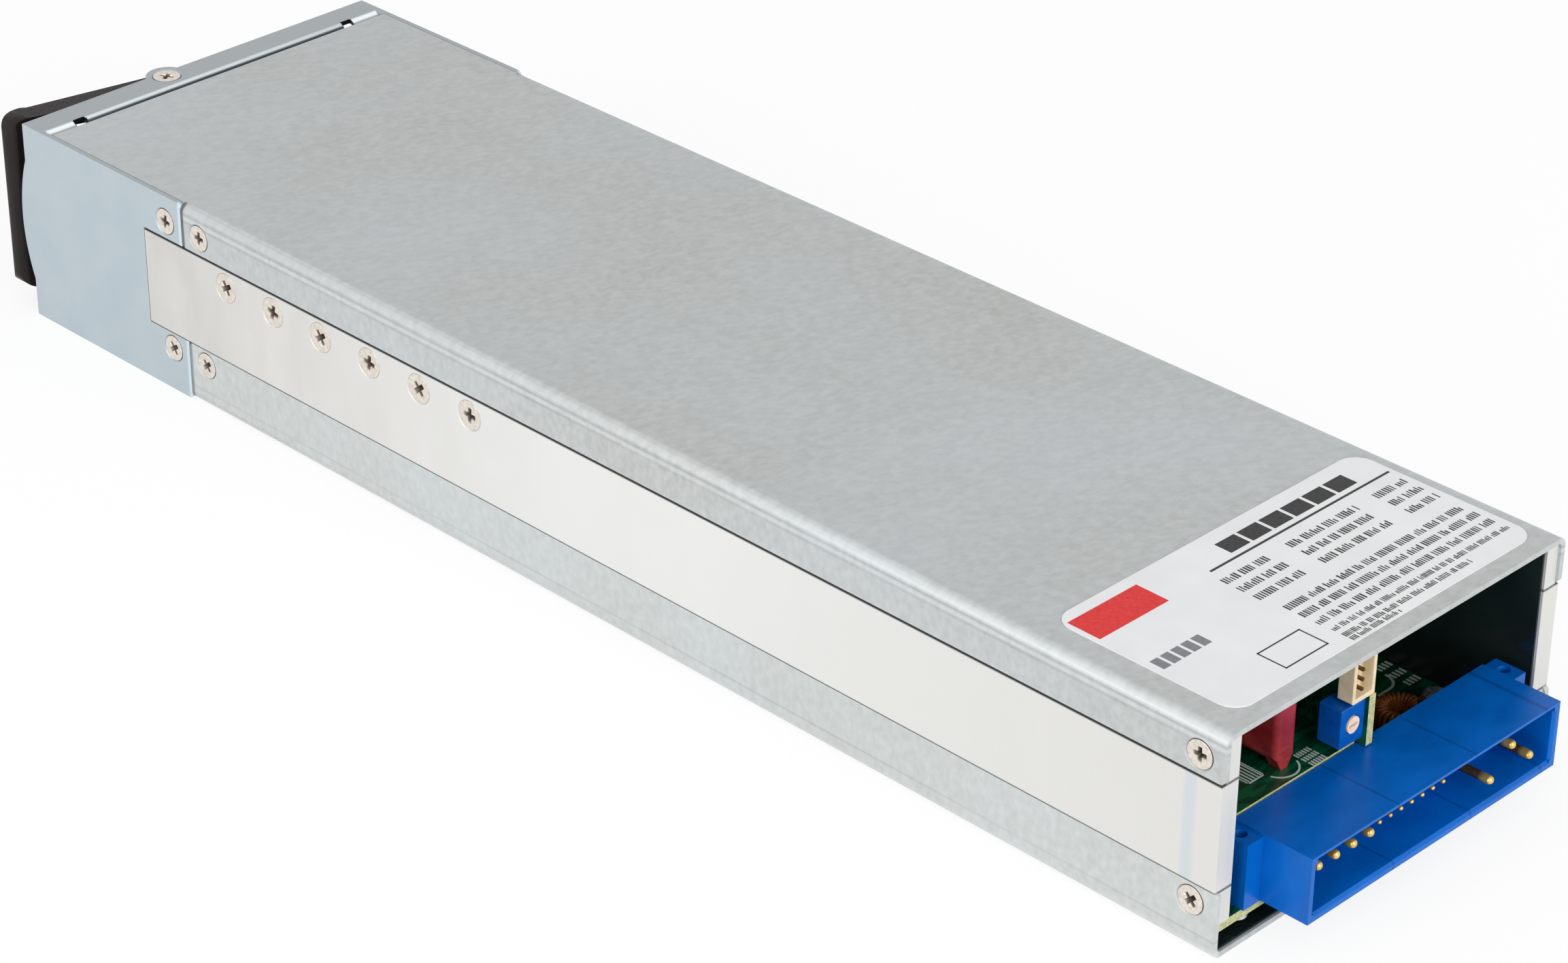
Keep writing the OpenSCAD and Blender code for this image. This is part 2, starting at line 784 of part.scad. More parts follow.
module main_board() {
    w = wall_x - board_side_gap;
    color("darkgreen") difference() {
        block([-w, board_y0, board_z0], [w, board_y1, board_top]);
        for (p = standoff_spots) {
            translate([p.x, p.y, board_z0 - 1]) cylinder(h = board_t + 2, r = post_hole_r + 0.15);
        }
        for (p = power_pins) {
            translate([p[0], p[3], board_z0 - 1]) cylinder(h = board_t + 2, d = power_pin_d + 0.2);
        }
        for (p = signal_pins) {
            translate([p[0], p[3], board_z0 - 1]) cylinder(h = board_t + 2, d = signal_pin_d + 0.2);
        }
        for (s = [-1, 1]) translate([s * ear_x, connector_y0 + connector_d / 2, board_z0 - 1]) {
            cylinder(h = board_t + 2, r = ear_hole_r + 0.1);
        }
    }
}

module board_standoffs() {
    color("silver") for (p = standoff_spots) translate([p.x, p.y, 0]) difference() {
        union() {
            translate([0, 0, sheet_t]) cylinder(h = board_z0 - sheet_t, r = standoff_r);
            cylinder(h = sheet_t + eps, r = 2 - screw_play);
        }
        translate([0, 0, sheet_t / 2]) cylinder(h = board_z0, r = post_hole_r);
    }
}

module board_screws() {
    color("silver") {
        for (p = standoff_spots) translate([p.x, p.y, board_top]) pan_screw();
        for (p = upper_spots) translate([p.x, p.y, upper_top]) pan_screw();
    }
}

module pan_screw() {
    difference() {
        union() {
            cylinder(h = pan_head_t, r1 = pan_head_r, r2 = pan_head_r * 0.75);
            translate([0, 0, -board_t - 2]) cylinder(h = board_t + 2.5, r = post_hole_r - pin_play);
        }
        translate([-1.6, -0.4, pan_head_t / 2]) cube([3.2, 0.8, pan_head_t]);
        translate([-0.4, -1.6, pan_head_t / 2]) cube([0.8, 3.2, pan_head_t]);
    }
}

module bottom_insulation_sheet() {
    w = wall_x - 1;
    color("black") difference() {
        block([-w, board_y0, sheet_t], [w, rear_y - 0.5, sheet_t + film_t]);
        for (p = standoff_spots) {
            translate([p.x, p.y, 0]) cylinder(h = 2 * sheet_t + film_t, r = film_hole_r);
        }
    }
}

module side_insulation_sheet() {
    color("black") {
        block(
            [-plate_in_x, plate_y0 + 2, board_top],
            [-plate_in_x + film_t, plate_y1 - 0.5, cover_under_z - 0.2]
        );
    }
}

// Moulded right-angle connector: a base with ears and an open shroud.
module rear_connector() {
    floor_y = ear_y1 - shroud_floor;
    half = shroud_w / 2;
    ear_half = half + ear_w;
    color("royalblue") difference() {
        union() {
            block([-ear_half, connector_y0, board_top], [ear_half, ear_y1, connector_top - ear_step_h]);
            block([-half, connector_y0, board_top], [half, ear_y1, connector_top]);
            block([-half, ear_y1 - eps, shroud_z0], [half, shroud_y1, connector_top]);
        }
        // Mouth with its bevelled rim
        block(
            [-half + shroud_wall, floor_y, shroud_z0 + shroud_wall],
            [half - shroud_wall, shroud_y1 + 1, connector_top - shroud_wall]
        );
        for (s = [-1, 1]) {
            x_in = half - shroud_wall;
            linear_z = connector_top - shroud_z0 - 2 * shroud_wall;
            translate([0, 0, shroud_z0 + shroud_wall]) linear_extrude(linear_z) polygon([
                [s * (x_in - eps), shroud_y1 + eps], [s * (x_in + rim_chamfer), shroud_y1 + eps],
                [s * (x_in - eps), shroud_y1 - rim_chamfer]
            ]);
        }
        along_x(-half + shroud_wall, shroud_w - 2 * shroud_wall) polygon([
            [shroud_y1 + eps, shroud_z0 + shroud_wall - rim_chamfer],
            [shroud_y1 + eps, shroud_z0 + shroud_wall + eps],
            [shroud_y1 - rim_chamfer, shroud_z0 + shroud_wall + eps]
        ]);
        along_x(-half + shroud_wall, shroud_w - 2 * shroud_wall) polygon([
            [shroud_y1 - top_wall_run, connector_top - shroud_wall - eps],
            [shroud_y1 + eps, connector_top - shroud_wall - eps], [shroud_y1 + eps, connector_top - top_wall]
        ]);
        for (p = power_pins) pin_bore(p, power_pin_d);
        for (p = signal_pins) pin_bore(p, signal_pin_d);
        for (s = [-1, 1]) translate([s * ear_x, connector_y0 + connector_d / 2, board_top - 1]) {
            cylinder(h = connector_top, r = ear_hole_r);
        }
    }
}

module pin_bore(p, d) {
    translate([p[0], connector_y0 - 1, p[1]]) rotate([-90, 0, 0]) {
        cylinder(h = connector_d + 2, d = d + 2 * pin_play);
    }
}

// Bent pin: round-tipped run along Y and a square tail down through the board.
module bent_pin(p, d) {
    run_y0 = p[3] - tail_share * d / 2;
    tail_w = tail_share * d;
    tail_z0 = board_z0 - tail_below;
    translate([p[0], run_y0, p[1]]) rotate([-90, 0, 0]) rotate_extrude() {
        square([d / 2, p[2] - d / 2 - run_y0]);
        intersection() {
            translate([0, p[2] - d / 2 - run_y0]) circle(d = d);
            square([d, p[2]]);
        }
    }
    translate([p[0] - tail_w / 2, run_y0, tail_z0]) cube([tail_w, tail_w, p[1] - tail_z0]);
}

module connector_power_pins() {
    color("gold") for (p = power_pins) bent_pin(p, power_pin_d);
}

module connector_signal_pins() {
    color("gold") for (p = signal_pins) bent_pin(p, signal_pin_d);
}

module connector_screws() {
    ear_screw_l = board_t + 7;
    color("silver") for (s = [-1, 1]) translate([s * ear_x, connector_y0 + connector_d / 2, board_z0]) {
        mirror([0, 0, 1]) cylinder(h = 1.2, r = 2);
        translate([0, 0, -eps]) cylinder(h = ear_screw_l, r = ear_hole_r - pin_play);
    }
}

module upper_board() {
    color("darkgreen") difference() {
        block([control_x, upper_board_y0, upper_z0], [plate_in_x - 1, upper_board_y1, upper_top]);
        for (p = upper_spots) {
            translate([p.x, p.y, upper_z0 - 1]) cylinder(h = board_t + 2, r = post_hole_r + 0.15);
        }
    }
}

// Hexagon spacers between the main board and the upper board
module upper_spacers() {
    color("silver") for (p = upper_spots) translate([p.x, p.y, board_top]) difference() {
        cylinder(h = upper_z0 - board_top, d = spacer_af / cos(30), $fn = 6);
        translate([0, 0, upper_z0 - board_top - 4]) cylinder(h = 5, r = post_hole_r);
    }
}

module control_board() {
    x0 = control_x - board_t;
    color("green") difference() {
        union() {
            block([x0, control_y1 - control_l, board_top], [control_x, control_foot_y1, control_z1]);
            block([x0, control_foot_y1 - eps, upper_top], [control_x, control_y1, control_z1]);
        }
        block([x0 - 1, socket_y1 - socket_l, socket_z0], [control_x + 1, control_y1 + 1, control_z1 + 1]);
    }
}

// Controller chips on the control board: [distance from its rear edge, height, length, tall]
module control_chips() {
    chips = [[13, 8, 8, 6], [23, 3, 6, 5], [34, -6, 8, 8], [30, 9, 7, 4]];
    color("black") for (c = chips) {
        block(
            [control_x, control_y1 - c[0] - c[2] / 2, upper_top + c[1]],
            [control_x + 1.6, control_y1 - c[0] + c[2] / 2, upper_top + c[1] + c[3]]
        );
    }
}

module trimmer_body() {
    color("royalblue") difference() {
        block(
            [control_x, trimmer_y1 - trimmer_l, trimmer_z0],
            [control_x + trimmer_w, trimmer_y1, trimmer_z0 + trimmer_h]
        );
        translate([adjuster_x, trimmer_y1 - adjuster_t, adjuster_z]) rotate([-90, 0, 0]) {
            cylinder(h = adjuster_t + 1, r = adjuster_r + adjuster_play);
        }
    }
}

module trimmer_adjuster() {
    back_gap = 0.1;
    disc_t = adjuster_t - back_gap + adjuster_proud;
    translate([adjuster_x, trimmer_y1 - adjuster_t + back_gap, adjuster_z]) rotate([-90, 0, 0]) {
        color("antiquewhite") difference() {
            cylinder(h = disc_t, r = adjuster_r);
            translate([-adjuster_r * 0.75, -0.25, disc_t - 0.5]) cube([adjuster_r * 1.5, 0.5, 1]);
        }
    }
}

// Socket that straddles the control board's rear edge, open to the rear
module header_socket() {
    x0 = control_x - board_t;
    y0 = socket_y1 - socket_l;
    color("wheat") difference() {
        block([x0, y0, socket_z0], [x0 + socket_w, socket_y1, socket_z0 + socket_h]);
        block(
            [x0 + socket_wall, y0 + socket_wall, socket_z0 + socket_wall],
            [x0 + socket_w - socket_wall, socket_y1 + 1, socket_z0 + socket_h - socket_wall]
        );
    }
}

module header_pins() {
    x = control_x - board_t + socket_w / 2;
    mid_z = socket_z0 + socket_h / 2;
    half = (socket_pins - 1) / 2;
    color("gold") for (i = [-half:half]) {
        z = mid_z + i * socket_pitch;
        block(
            [x - 0.25, socket_y1 - socket_l + socket_wall, z - 0.25], [x + 0.25, socket_y1 - 0.4, z + 0.25]
        );
    }
}

// Dipped film capacitor standing on edge, whose coating runs down the two leads
module film_capacitor() {
    t = 5;
    l = 16;
    h = 18;
    foot_h = 2;
    foot_l = 2.4;
    x0 = across(0.41) - t / 2;
    y1 = connector_y0 - 2.8;
    z0 = upper_top;
    mid = x0 + t / 2;
    color("brown") intersection() {
        along_x(x0, t) {
            round_rect([y1 - l, z0 + foot_h], [y1, z0 + h], 2);
            for (y = [y1 - l + 0.2, y1 - foot_l - 0.2]) translate([y, z0]) square([foot_l, foot_h + 3]);
        }
        along_y(y1 - l, l) {
            round_rect([x0, z0 + foot_h], [x0 + t, z0 + h], 1.2);
            polygon([
                [mid - 0.8, z0], [mid + 0.8, z0], [x0 + t, z0 + foot_h + 1.2], [x0, z0 + foot_h + 1.2]
            ]);
        }
        translate([0, 0, z0]) linear_extrude(h) round_rect([x0, y1 - l], [x0 + t, y1], 1.2);
    }
}

// Small wound ring on the main board behind the connector
module filter_ring() {
    translate([across(-0.6), rear_y - 15.5, board_top]) color("darkorange") rotate_extrude() {
        translate([2, 0]) round_rect([0, 0], [2.6, 4.5], 1);
    }
}

// Can capacitor with a rolled groove near its foot.
module can_capacitor(r, h) {
    groove = r * 0.06;
    rotate_extrude() difference() {
        union() {
            square([r - 1, h]);
            square([r, h - 1]);
            translate([r - 1, h - 1]) circle(1);
        }
        translate([r + groove, 3]) circle(2 * groove);
        translate([-2 * r, -h]) square([2 * r, 3 * h]);
    }
}

module bulk_capacitors() {
    r = 15;
    color("midnightblue") for (i = [0:2]) {
        translate([across(-0.545), front_y + 56 + i * (2 * r + 2), board_top]) can_capacitor(r, 30);
    }
}

module output_capacitors() {
    r = 6.25;
    color("navy") for (s = [-1, 1], i = [0:2]) {
        translate([across(0.52) + s * (r + 0.75), rear_y - 33 - i * (2 * r + 1.5), board_top]) {
            can_capacitor(r, 25);
        }
    }
}

// Ring core lying flat, wound with as many separate turns as its hole takes.
winding_wire = 1.2;

module ring_core(r_in, r_out, h) {
    rotate_extrude() translate([r_in, winding_wire]) square([r_out - r_in, h]);
}

module ring_winding(r_in, r_out, h) {
    wire = winding_wire;
    window_x = sqrt(r_in * r_in - wire * wire);
    turns = floor(0.95 * PI * (window_x - wire) / wire);
    for (i = [0:turns - 1]) rotate(i * 360 / turns) translate([0, wire, 0]) rotate([90, 0, 0]) {
        linear_extrude(2 * wire) difference() {
            translate([window_x - wire, 0]) square([r_out - window_x + 2 * wire, h + 2 * wire]);
            translate([window_x, wire]) square([r_out - window_x, h]);
        }
    }
}

boost_spot = [across(0.338), front_y + 70];
mains_choke_spot = [across(-0.714), rear_y - 47];

module boost_choke_core() {
    color("gray") translate([boost_spot.x, boost_spot.y, board_top]) ring_core(7, 13.5, 14);
}

module boost_choke_winding() {
    color("chocolate") translate([boost_spot.x, boost_spot.y, board_top]) ring_winding(7, 13.5, 14);
}

module mains_choke_core() {
    color("darkgreen") {
        translate([mains_choke_spot.x, mains_choke_spot.y, board_top]) ring_core(4.4, 7.8, 9);
    }
}

module mains_choke_winding() {
    color("chocolate") {
        translate([mains_choke_spot.x, mains_choke_spot.y, board_top]) ring_winding(4.4, 7.8, 9);
    }
}

// Double-E core with its winding: legs in X, winding round the middle leg.
e_core_w = 30;
e_core_l = 40;
e_core_h = 27;
e_leg = 7;
e_spot = [across(0.39) - e_core_w / 2, front_y + 132];

module transformer_core() {
    z0 = board_top;
    color("dimgray") translate([e_spot.x, e_spot.y, z0]) difference() {
        cube([e_core_w, e_core_l, e_core_h]);
        for (x = [e_leg, e_core_w / 2 + e_leg / 2]) {
            translate([x, e_leg, -1]) cube([(e_core_w - 3 * e_leg) / 2, e_core_l - 2 * e_leg, e_core_h + 2]);
        }
    }
}

module transformer_winding() {
    window = (e_core_w - 3 * e_leg) / 2;
    mid = e_core_w / 2;
    half_leg = e_leg / 2;
    z0 = board_top;
    color("khaki") translate([e_spot.x, e_spot.y, z0]) {
        for (s = [-1, 1]) {
            x0 = mid + (s > 0 ? half_leg + 0.1 : -half_leg - window + 0.1);
            block([x0, e_leg + 0.5, 0], [x0 + window - 0.2, e_core_l - e_leg - 0.5, e_core_h + 2]);
        }
        block(
            [mid - half_leg - window + 0.1, e_leg + 0.5, e_core_h + 0.1],
            [mid + half_leg + window - 0.1, e_core_l - e_leg - 0.5, e_core_h + 2]
        );
    }
}

// Output choke: ferrite block with a flat copper strap round it.
module output_choke() {
    size = [28, 24, 22];
    low = [across(0.4675) - size.x / 2, rear_y - 96, board_top];
    color("dimgray") block(low + [0, 0, 1.5], low + size);
    color("peru") {
        block(low + [6, -1.5, 0], low + [size.x - 6, size.y + 1.5, 1.5 + eps]);
        for (y = [-1.5, size.y - eps]) {
            block(low + [6, y, 0], low + [size.x - 6, y + 1.5 + eps, size.z]);
        }
    }
}

module relay() {
    size = [16, 20, 18];
    low = [across(-0.727) - size.x / 2, rear_y - 80, board_top];
    color("black") block(low, low + size);
}

module mains_capacitor() {
    size = [14, 16, 20];
    low = [across(-0.753) - size.x / 2, rear_y - 100, board_top];
    color("goldenrod") block(low, low + size);
}

// Tube fuse lying on two clips.
module fuse() {
    x = across(-0.26);
    y1 = rear_y - 34;
    l = 20;
    r = 2.6;
    z = board_top + r + 0.8;
    color("ivory") translate([x, y1, z]) rotate([90, 0, 0]) {
        cylinder(h = l, r = r - 0.2);
        for (y = [0, l - 5]) translate([0, 0, y]) cylinder(h = 5, r = r);
    }
    color("silver") for (y = [y1 - 4, y1 - l + 1]) {
        block([x - 1.5, y, board_top], [x + 1.5, y + 3, z - r + 0.3]);
    }
}

module rating_label() {
    color("white") translate([0, 0, case_h]) linear_extrude(label_t) {
        round_rect(
            [label_x - label_w / 2, label_y1 - label_l], [label_x + label_w / 2, label_y1], label_r
        );
    }
}

top_cover();
bottom_cover();
right_side_plate();
left_side_plate();
front_housing();
pull_handle();
handle_pivot_screws();
handle_pivot_nuts();
cover_screws();
housing_screws();
transistor_screws();
transistors();
transistor_pads();
transistor_nuts();
right_fan_frame();
left_fan_frame();
right_fan_rotor();
left_fan_rotor();
fan_screws();
status_light_pipes();
status_leds();
status_led_board();
main_board();
board_standoffs();
board_screws();
bottom_insulation_sheet();
side_insulation_sheet();
rear_connector();
connector_power_pins();
connector_signal_pins();
connector_screws();
upper_board();
upper_spacers();
control_board();
control_chips();
trimmer_body();
trimmer_adjuster();
header_socket();
header_pins();
film_capacitor();
filter_ring();
bulk_capacitors();
output_capacitors();
boost_choke_core();
boost_choke_winding();
transformer_core();
transformer_winding();
output_choke();
mains_choke_core();
mains_choke_winding();
relay();
mains_capacitor();
fuse();
rating_label();
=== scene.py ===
from math import pi, radians

import bmesh
import bpy
import numpy as np
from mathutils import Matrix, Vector


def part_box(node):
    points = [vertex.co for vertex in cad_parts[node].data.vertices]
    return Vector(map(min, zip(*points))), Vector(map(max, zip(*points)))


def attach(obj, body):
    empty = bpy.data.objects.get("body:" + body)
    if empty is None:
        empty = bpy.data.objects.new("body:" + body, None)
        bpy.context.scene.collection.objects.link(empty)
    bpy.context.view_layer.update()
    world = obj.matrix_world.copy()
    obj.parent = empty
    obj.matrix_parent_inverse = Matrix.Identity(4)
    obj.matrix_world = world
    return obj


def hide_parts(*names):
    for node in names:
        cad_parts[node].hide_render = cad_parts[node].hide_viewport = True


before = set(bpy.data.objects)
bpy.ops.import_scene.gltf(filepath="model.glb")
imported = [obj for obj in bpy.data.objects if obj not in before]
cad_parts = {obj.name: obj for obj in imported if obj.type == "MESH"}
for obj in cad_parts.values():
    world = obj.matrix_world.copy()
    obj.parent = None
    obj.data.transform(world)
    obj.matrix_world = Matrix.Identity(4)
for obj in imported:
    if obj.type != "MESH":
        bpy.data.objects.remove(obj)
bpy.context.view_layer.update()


# Camera: a long lens that looks down on the rear right corner of the module, the way one looks
# at it lying on a bench with its connector towards one.
camera = bpy.data.objects.new("camera", bpy.data.cameras.new("camera"))
camera.location = (0.46871, 0.47804, 0.39085)
camera.rotation_euler = (radians(60.139), radians(-0.415), radians(134.926))
camera.data.lens = 98.137
camera.data.sensor_width = 36
camera.data.clip_end = 100
bpy.context.scene.collection.objects.link(camera)
bpy.context.scene.camera = camera
bpy.context.scene.view_settings.view_transform = "Standard"


# Stage: a wide pale floor under a white background, an even sky and broad soft lamps. What the
# camera and the glossy metal see of floor and sky is plain white, and the floor keeps the shadow.
def node(tree, kind, sockets=None, **settings):
    """Adds a shader node. Each socket, by name or number, gets a link or a plain value."""
    made = tree.nodes.new("ShaderNode" + kind)
    for name, value in settings.items():
        setattr(made, name, value)
    for key, value in (sockets or {}).items():
        if isinstance(value, bpy.types.NodeSocket):
            tree.links.new(value, made.inputs[key])
        else:
            made.inputs[key].default_value = value
    return made


def srgb(red, green, blue):
    """Linear colour, with full opacity, of a shade given as three numbers from 0 to 255."""
    shade = np.array([red, green, blue]) / 255
    linear = np.where(shade < 0.04045, shade / 12.92, ((shade + 0.055) / 1.055) ** 2.4)
    return (*linear.tolist(), 1.0)


def seen_directly(tree):
    """1 on rays from the camera and on mirrored or refracted ones, 0 on the light that falls."""
    path = node(tree, "LightPath")
    bent = node(tree, "Math", {
        0: path.outputs["Is Glossy Ray"], 1: path.outputs["Is Transmission Ray"]
    }, operation="MAXIMUM")
    seen = node(tree, "Math", {0: path.outputs["Is Camera Ray"], 1: bent.outputs[0]}, operation="MAXIMUM")
    return seen.outputs[0]


def link_sky(strength):
    """White where it is seen, and an even light of that strength on everything else."""
    world = bpy.data.worlds.new("sky")
    world.use_nodes = True
    tree = world.node_tree
    light = node(tree, "Background", {"Color": (1, 1, 1, 1), "Strength": strength})
    white = node(tree, "Background", {"Color": (1, 1, 1, 1), "Strength": 1.0})
    mixed = node(tree, "MixShader", {0: seen_directly(tree), 1: light.outputs[0], 2: white.outputs[0]})
    tree.links.new(mixed.outputs[0], tree.nodes["World Output"].inputs["Surface"])
    bpy.context.scene.world = world


def pale_floor(half):
    """A square at z = 0 that shows nearly white and keeps a part of its shading for the shadow."""
    mesh = bpy.data.meshes.new("floor")
    corners = [(-half, -half, 0), (half, -half, 0), (half, half, 0), (-half, half, 0)]
    mesh.from_pydata(corners, [], [(0, 1, 2, 3)])
    mat = bpy.data.materials.new("floor")
    mat.use_nodes = True
    tree = mat.node_tree
    falling = node(tree, "BsdfDiffuse", {"Color": srgb(225, 225, 225)})
    shaded = node(tree, "BsdfDiffuse", {"Color": srgb(110, 110, 110)})
    glow = node(tree, "Emission", {"Color": (1, 1, 1, 1), "Strength": 0.84})
    shown = node(tree, "AddShader", {0: shaded.outputs[0], 1: glow.outputs[0]})
    mixed = node(tree, "MixShader", {0: seen_directly(tree), 1: falling.outputs[0], 2: shown.outputs[0]})
    tree.links.new(mixed.outputs[0], tree.nodes["Material Output"].inputs["Surface"])
    mesh.materials.append(mat)
    floor = bpy.data.objects.new("floor", mesh)
    bpy.context.scene.collection.objects.link(floor)
    return floor


def softbox(name, place, aim, size, power):
    """A square area lamp that faces a point."""
    lamp = bpy.data.lights.new(name, "AREA")
    lamp.size = size
    lamp.energy = power
    made = bpy.data.objects.new(name, lamp)
    made.location = place
    made.rotation_euler = (Vector(aim) - Vector(place)).to_track_quat("-Z", "Y").to_euler()
    bpy.context.scene.collection.objects.link(made)


link_sky(strength=0.72)
pale_floor(half=12)
softbox("right_lamp", (1.6, 0.1, 0.38), aim=(0, 0, 0.02), size=1.2, power=16.5)
softbox("rear_lamp", (0.25, 1.5, 0.5), aim=(0, 0.1, 0.02), size=0.9, power=14)


# Top and bottom covers: channels folded from 1 mm zinc-coated sheet, held to the side plates by
# countersunk screws. The zinc is dull and cloudy, and the press brake left lines along its folds.
MM = 0.001
housing_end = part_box("front_housing")[1].y


def material(name, colour, roughness, metallic=0.0, **sockets):
    """A plain finish to start from: returns the material, its node tree and its shader."""
    mat = bpy.data.materials.new(name)
    mat.use_nodes = True
    shader = mat.node_tree.nodes["Principled BSDF"]
    shader.inputs["Base Color"].default_value = colour
    shader.inputs["Roughness"].default_value = roughness
    shader.inputs["Metallic"].default_value = metallic
    for socket, value in sockets.items():
        shader.inputs[socket.replace("_", " ")].default_value = value
    return mat, mat.node_tree, shader


def speckle(tree, size, stretch=(1, 1, 1), detail=2.0, turn=0.0):
    """Soft noise in the piece's own coordinates: spots of that size in metres, stretched per axis."""
    place = node(tree, "TexCoord").outputs["Object"]
    scale = tuple(1 / (size * s) for s in stretch)
    turned = node(tree, "Mapping", {"Vector": place, "Rotation": (0, 0, turn)})
    spots = node(tree, "Mapping", {"Vector": turned.outputs[0], "Scale": scale})
    return node(tree, "TexNoise", {"Vector": spots.outputs[0], "Scale": 1.0, "Detail": detail}).outputs[0]


def between(tree, factor, low, high, at_low=0.3, at_high=0.7):
    """A number that runs from low to high while the factor runs from at_low to at_high."""
    return node(tree, "MapRange", {
        "Value": factor, "From Min": at_low, "From Max": at_high, "To Min": low, "To Max": high
    }).outputs[0]


def sums(tree, kind, *terms):
    """Joins numbers or links two by two with one kind of sum."""
    total = terms[0]
    for term in terms[1:]:
        total = node(tree, "Math", {0: total, 1: term}, operation=kind).outputs[0]
    return total


def position(tree, axis):
    """The piece's own coordinate along an axis, in metres."""
    place = node(tree, "TexCoord").outputs["Object"]
    return node(tree, "SeparateXYZ", {0: place}).outputs[axis]


def magnitude(tree, term):
    """A number without its sign."""
    return node(tree, "Math", {0: term}, operation="ABSOLUTE").outputs[0]


def stripe(tree, axis, middle, half):
    """1 on the plane that lies at middle along an axis, and fading to 0 at the half width from it."""
    away = magnitude(tree, sums(tree, "SUBTRACT", position(tree, axis), middle))
    return between(tree, away, 1, 0, 0.4 * half, half)


def tint(tree, factor, dark, light):
    """Colour between two shades: a factor of 0 is the first and 1 the second."""
    return node(tree, "Mix", {0: factor, 6: dark, 7: light}, data_type="RGBA").outputs[2]


def mark(tree, shade, colour, *where):
    """The shade, turned to a colour as far as the product of the given factors says."""
    return tint(tree, sums(tree, "MULTIPLY", *where), shade, colour)


def relief(tree, shader, height, depth):
    """Bump of that depth in metres."""
    bump = node(tree, "Bump", {"Height": height, "Distance": depth, "Strength": 1.0})
    tree.links.new(bump.outputs[0], shader.inputs["Normal"])


def grained(name, dark, light, size, roughness, metallic=0.0, depth=0.0, **sockets):
    """A finish whose colour and roughness vary a little with one noise of that size. A depth gives it
    a grain that can be felt."""
    mat, tree, shader = material(name, light, roughness, metallic, **sockets)
    spots = speckle(tree, size, detail=3.0)
    tree.links.new(tint(tree, between(tree, spots, 0, 1), dark, light), shader.inputs["Base Color"])
    rough = between(tree, spots, roughness * 0.85, roughness * 1.15)
    tree.links.new(rough, shader.inputs["Roughness"])
    if depth:
        relief(tree, shader, spots, depth)
    return mat


def dress(mat, *names):
    """Gives CAD nodes a material."""
    for name in names:
        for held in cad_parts[name].material_slots:
            held.material = mat


def soften(width, *names):
    """Breaks the sharp edges of CAD nodes, as deburring does."""
    for name in names:
        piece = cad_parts[name]
        weld = piece.modifiers.new("weld", "WELD")
        weld.merge_threshold = 0.002 * MM
        flat = piece.modifiers.new("flat", "DECIMATE")
        flat.decimate_type = "DISSOLVE"
        flat.angle_limit = radians(0.5)
        edge = piece.modifiers.new("edge", "BEVEL")
        edge.width = width
        edge.segments = 2
        edge.limit_method = "ANGLE"
        edge.angle_limit = radians(35)
        edge.harden_normals = True


def zinc_coated_sheet():
    """Grey zinc: clouds a few centimetres wide, slanting flecks of 1 to 2 mm, a painted highlight along
    each bend, and the lines that the press brake left beside it, broken here and there. Painted
    shade darkens the side flanges in the seam where they end under the housing, and painted light
    makes the lower ones a little paler."""
    mat, tree, shader = material("zinc_coated_sheet", srgb(178, 182, 182), 0.5, 0.15)
    clouds = between(tree, speckle(tree, 50 * MM), 0.0, 1.0)
    hue = tint(tree, clouds, srgb(164, 167, 163), srgb(173, 178, 180))
    flecks = speckle(tree, 1.4 * MM, (1.35, 0.9, 1.2), 3.0, turn=radians(20))
    shade = tint(tree, between(tree, flecks, 0.0, 0.5, 0.3, 0.7), hue, srgb(199, 202, 203))
    broken = between(tree, speckle(tree, 4 * MM, (1, 6, 0.3)), 0.3, 1.0)
    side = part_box("top_cover")[1].x
    across = magnitude(tree, position(tree, 0))
    on_flange = between(tree, across, 0, 1, side - 1.7 * MM, side - 1.1 * MM)
    # Painted highlight: paler bands along the bends of the side flanges.
    for height, half, strength in ((40.2, 0.8, 0.22), (0.8, 0.8, 0.25), (38.4, 0.5, 0.2)):
        bend_highlight = stripe(tree, 2, height * MM, half * MM)
        shade = mark(tree, shade, srgb(226, 230, 232), bend_highlight, on_flange, strength)
    for height, half, strength in ((39.1, 0.3, 0.35), (37.7, 0.4, 0.3), (3.3, 0.3, 0.4)):
        line = stripe(tree, 2, height * MM, half * MM)
        shade = mark(tree, shade, srgb(120, 122, 124), line, broken, strength)
    # Painted shade in the seam where the side flanges end under the housing.
    shaded_front_edge = stripe(tree, 1, housing_end + 0.4 * MM, 0.6 * MM)
    shade = mark(tree, shade, srgb(62, 68, 74), shaded_front_edge, on_flange, 0.85)
    # Painted light: the lower side flanges a little paler.
    lit_lower_flange = between(tree, position(tree, 2), 1, 0, 12 * MM, 14 * MM)
    shade = mark(tree, shade, srgb(226, 232, 231), lit_lower_flange, on_flange, 0.18)
    tree.links.new(shade, shader.inputs["Base Color"])
    tree.links.new(between(tree, flecks, 0.42, 0.56), shader.inputs["Roughness"])
    relief(tree, shader, flecks, 0.005 * MM)
    return mat


dress(zinc_coated_sheet(), "top_cover", "bottom_cover")
soften(0.12 * MM, "top_cover", "bottom_cover")


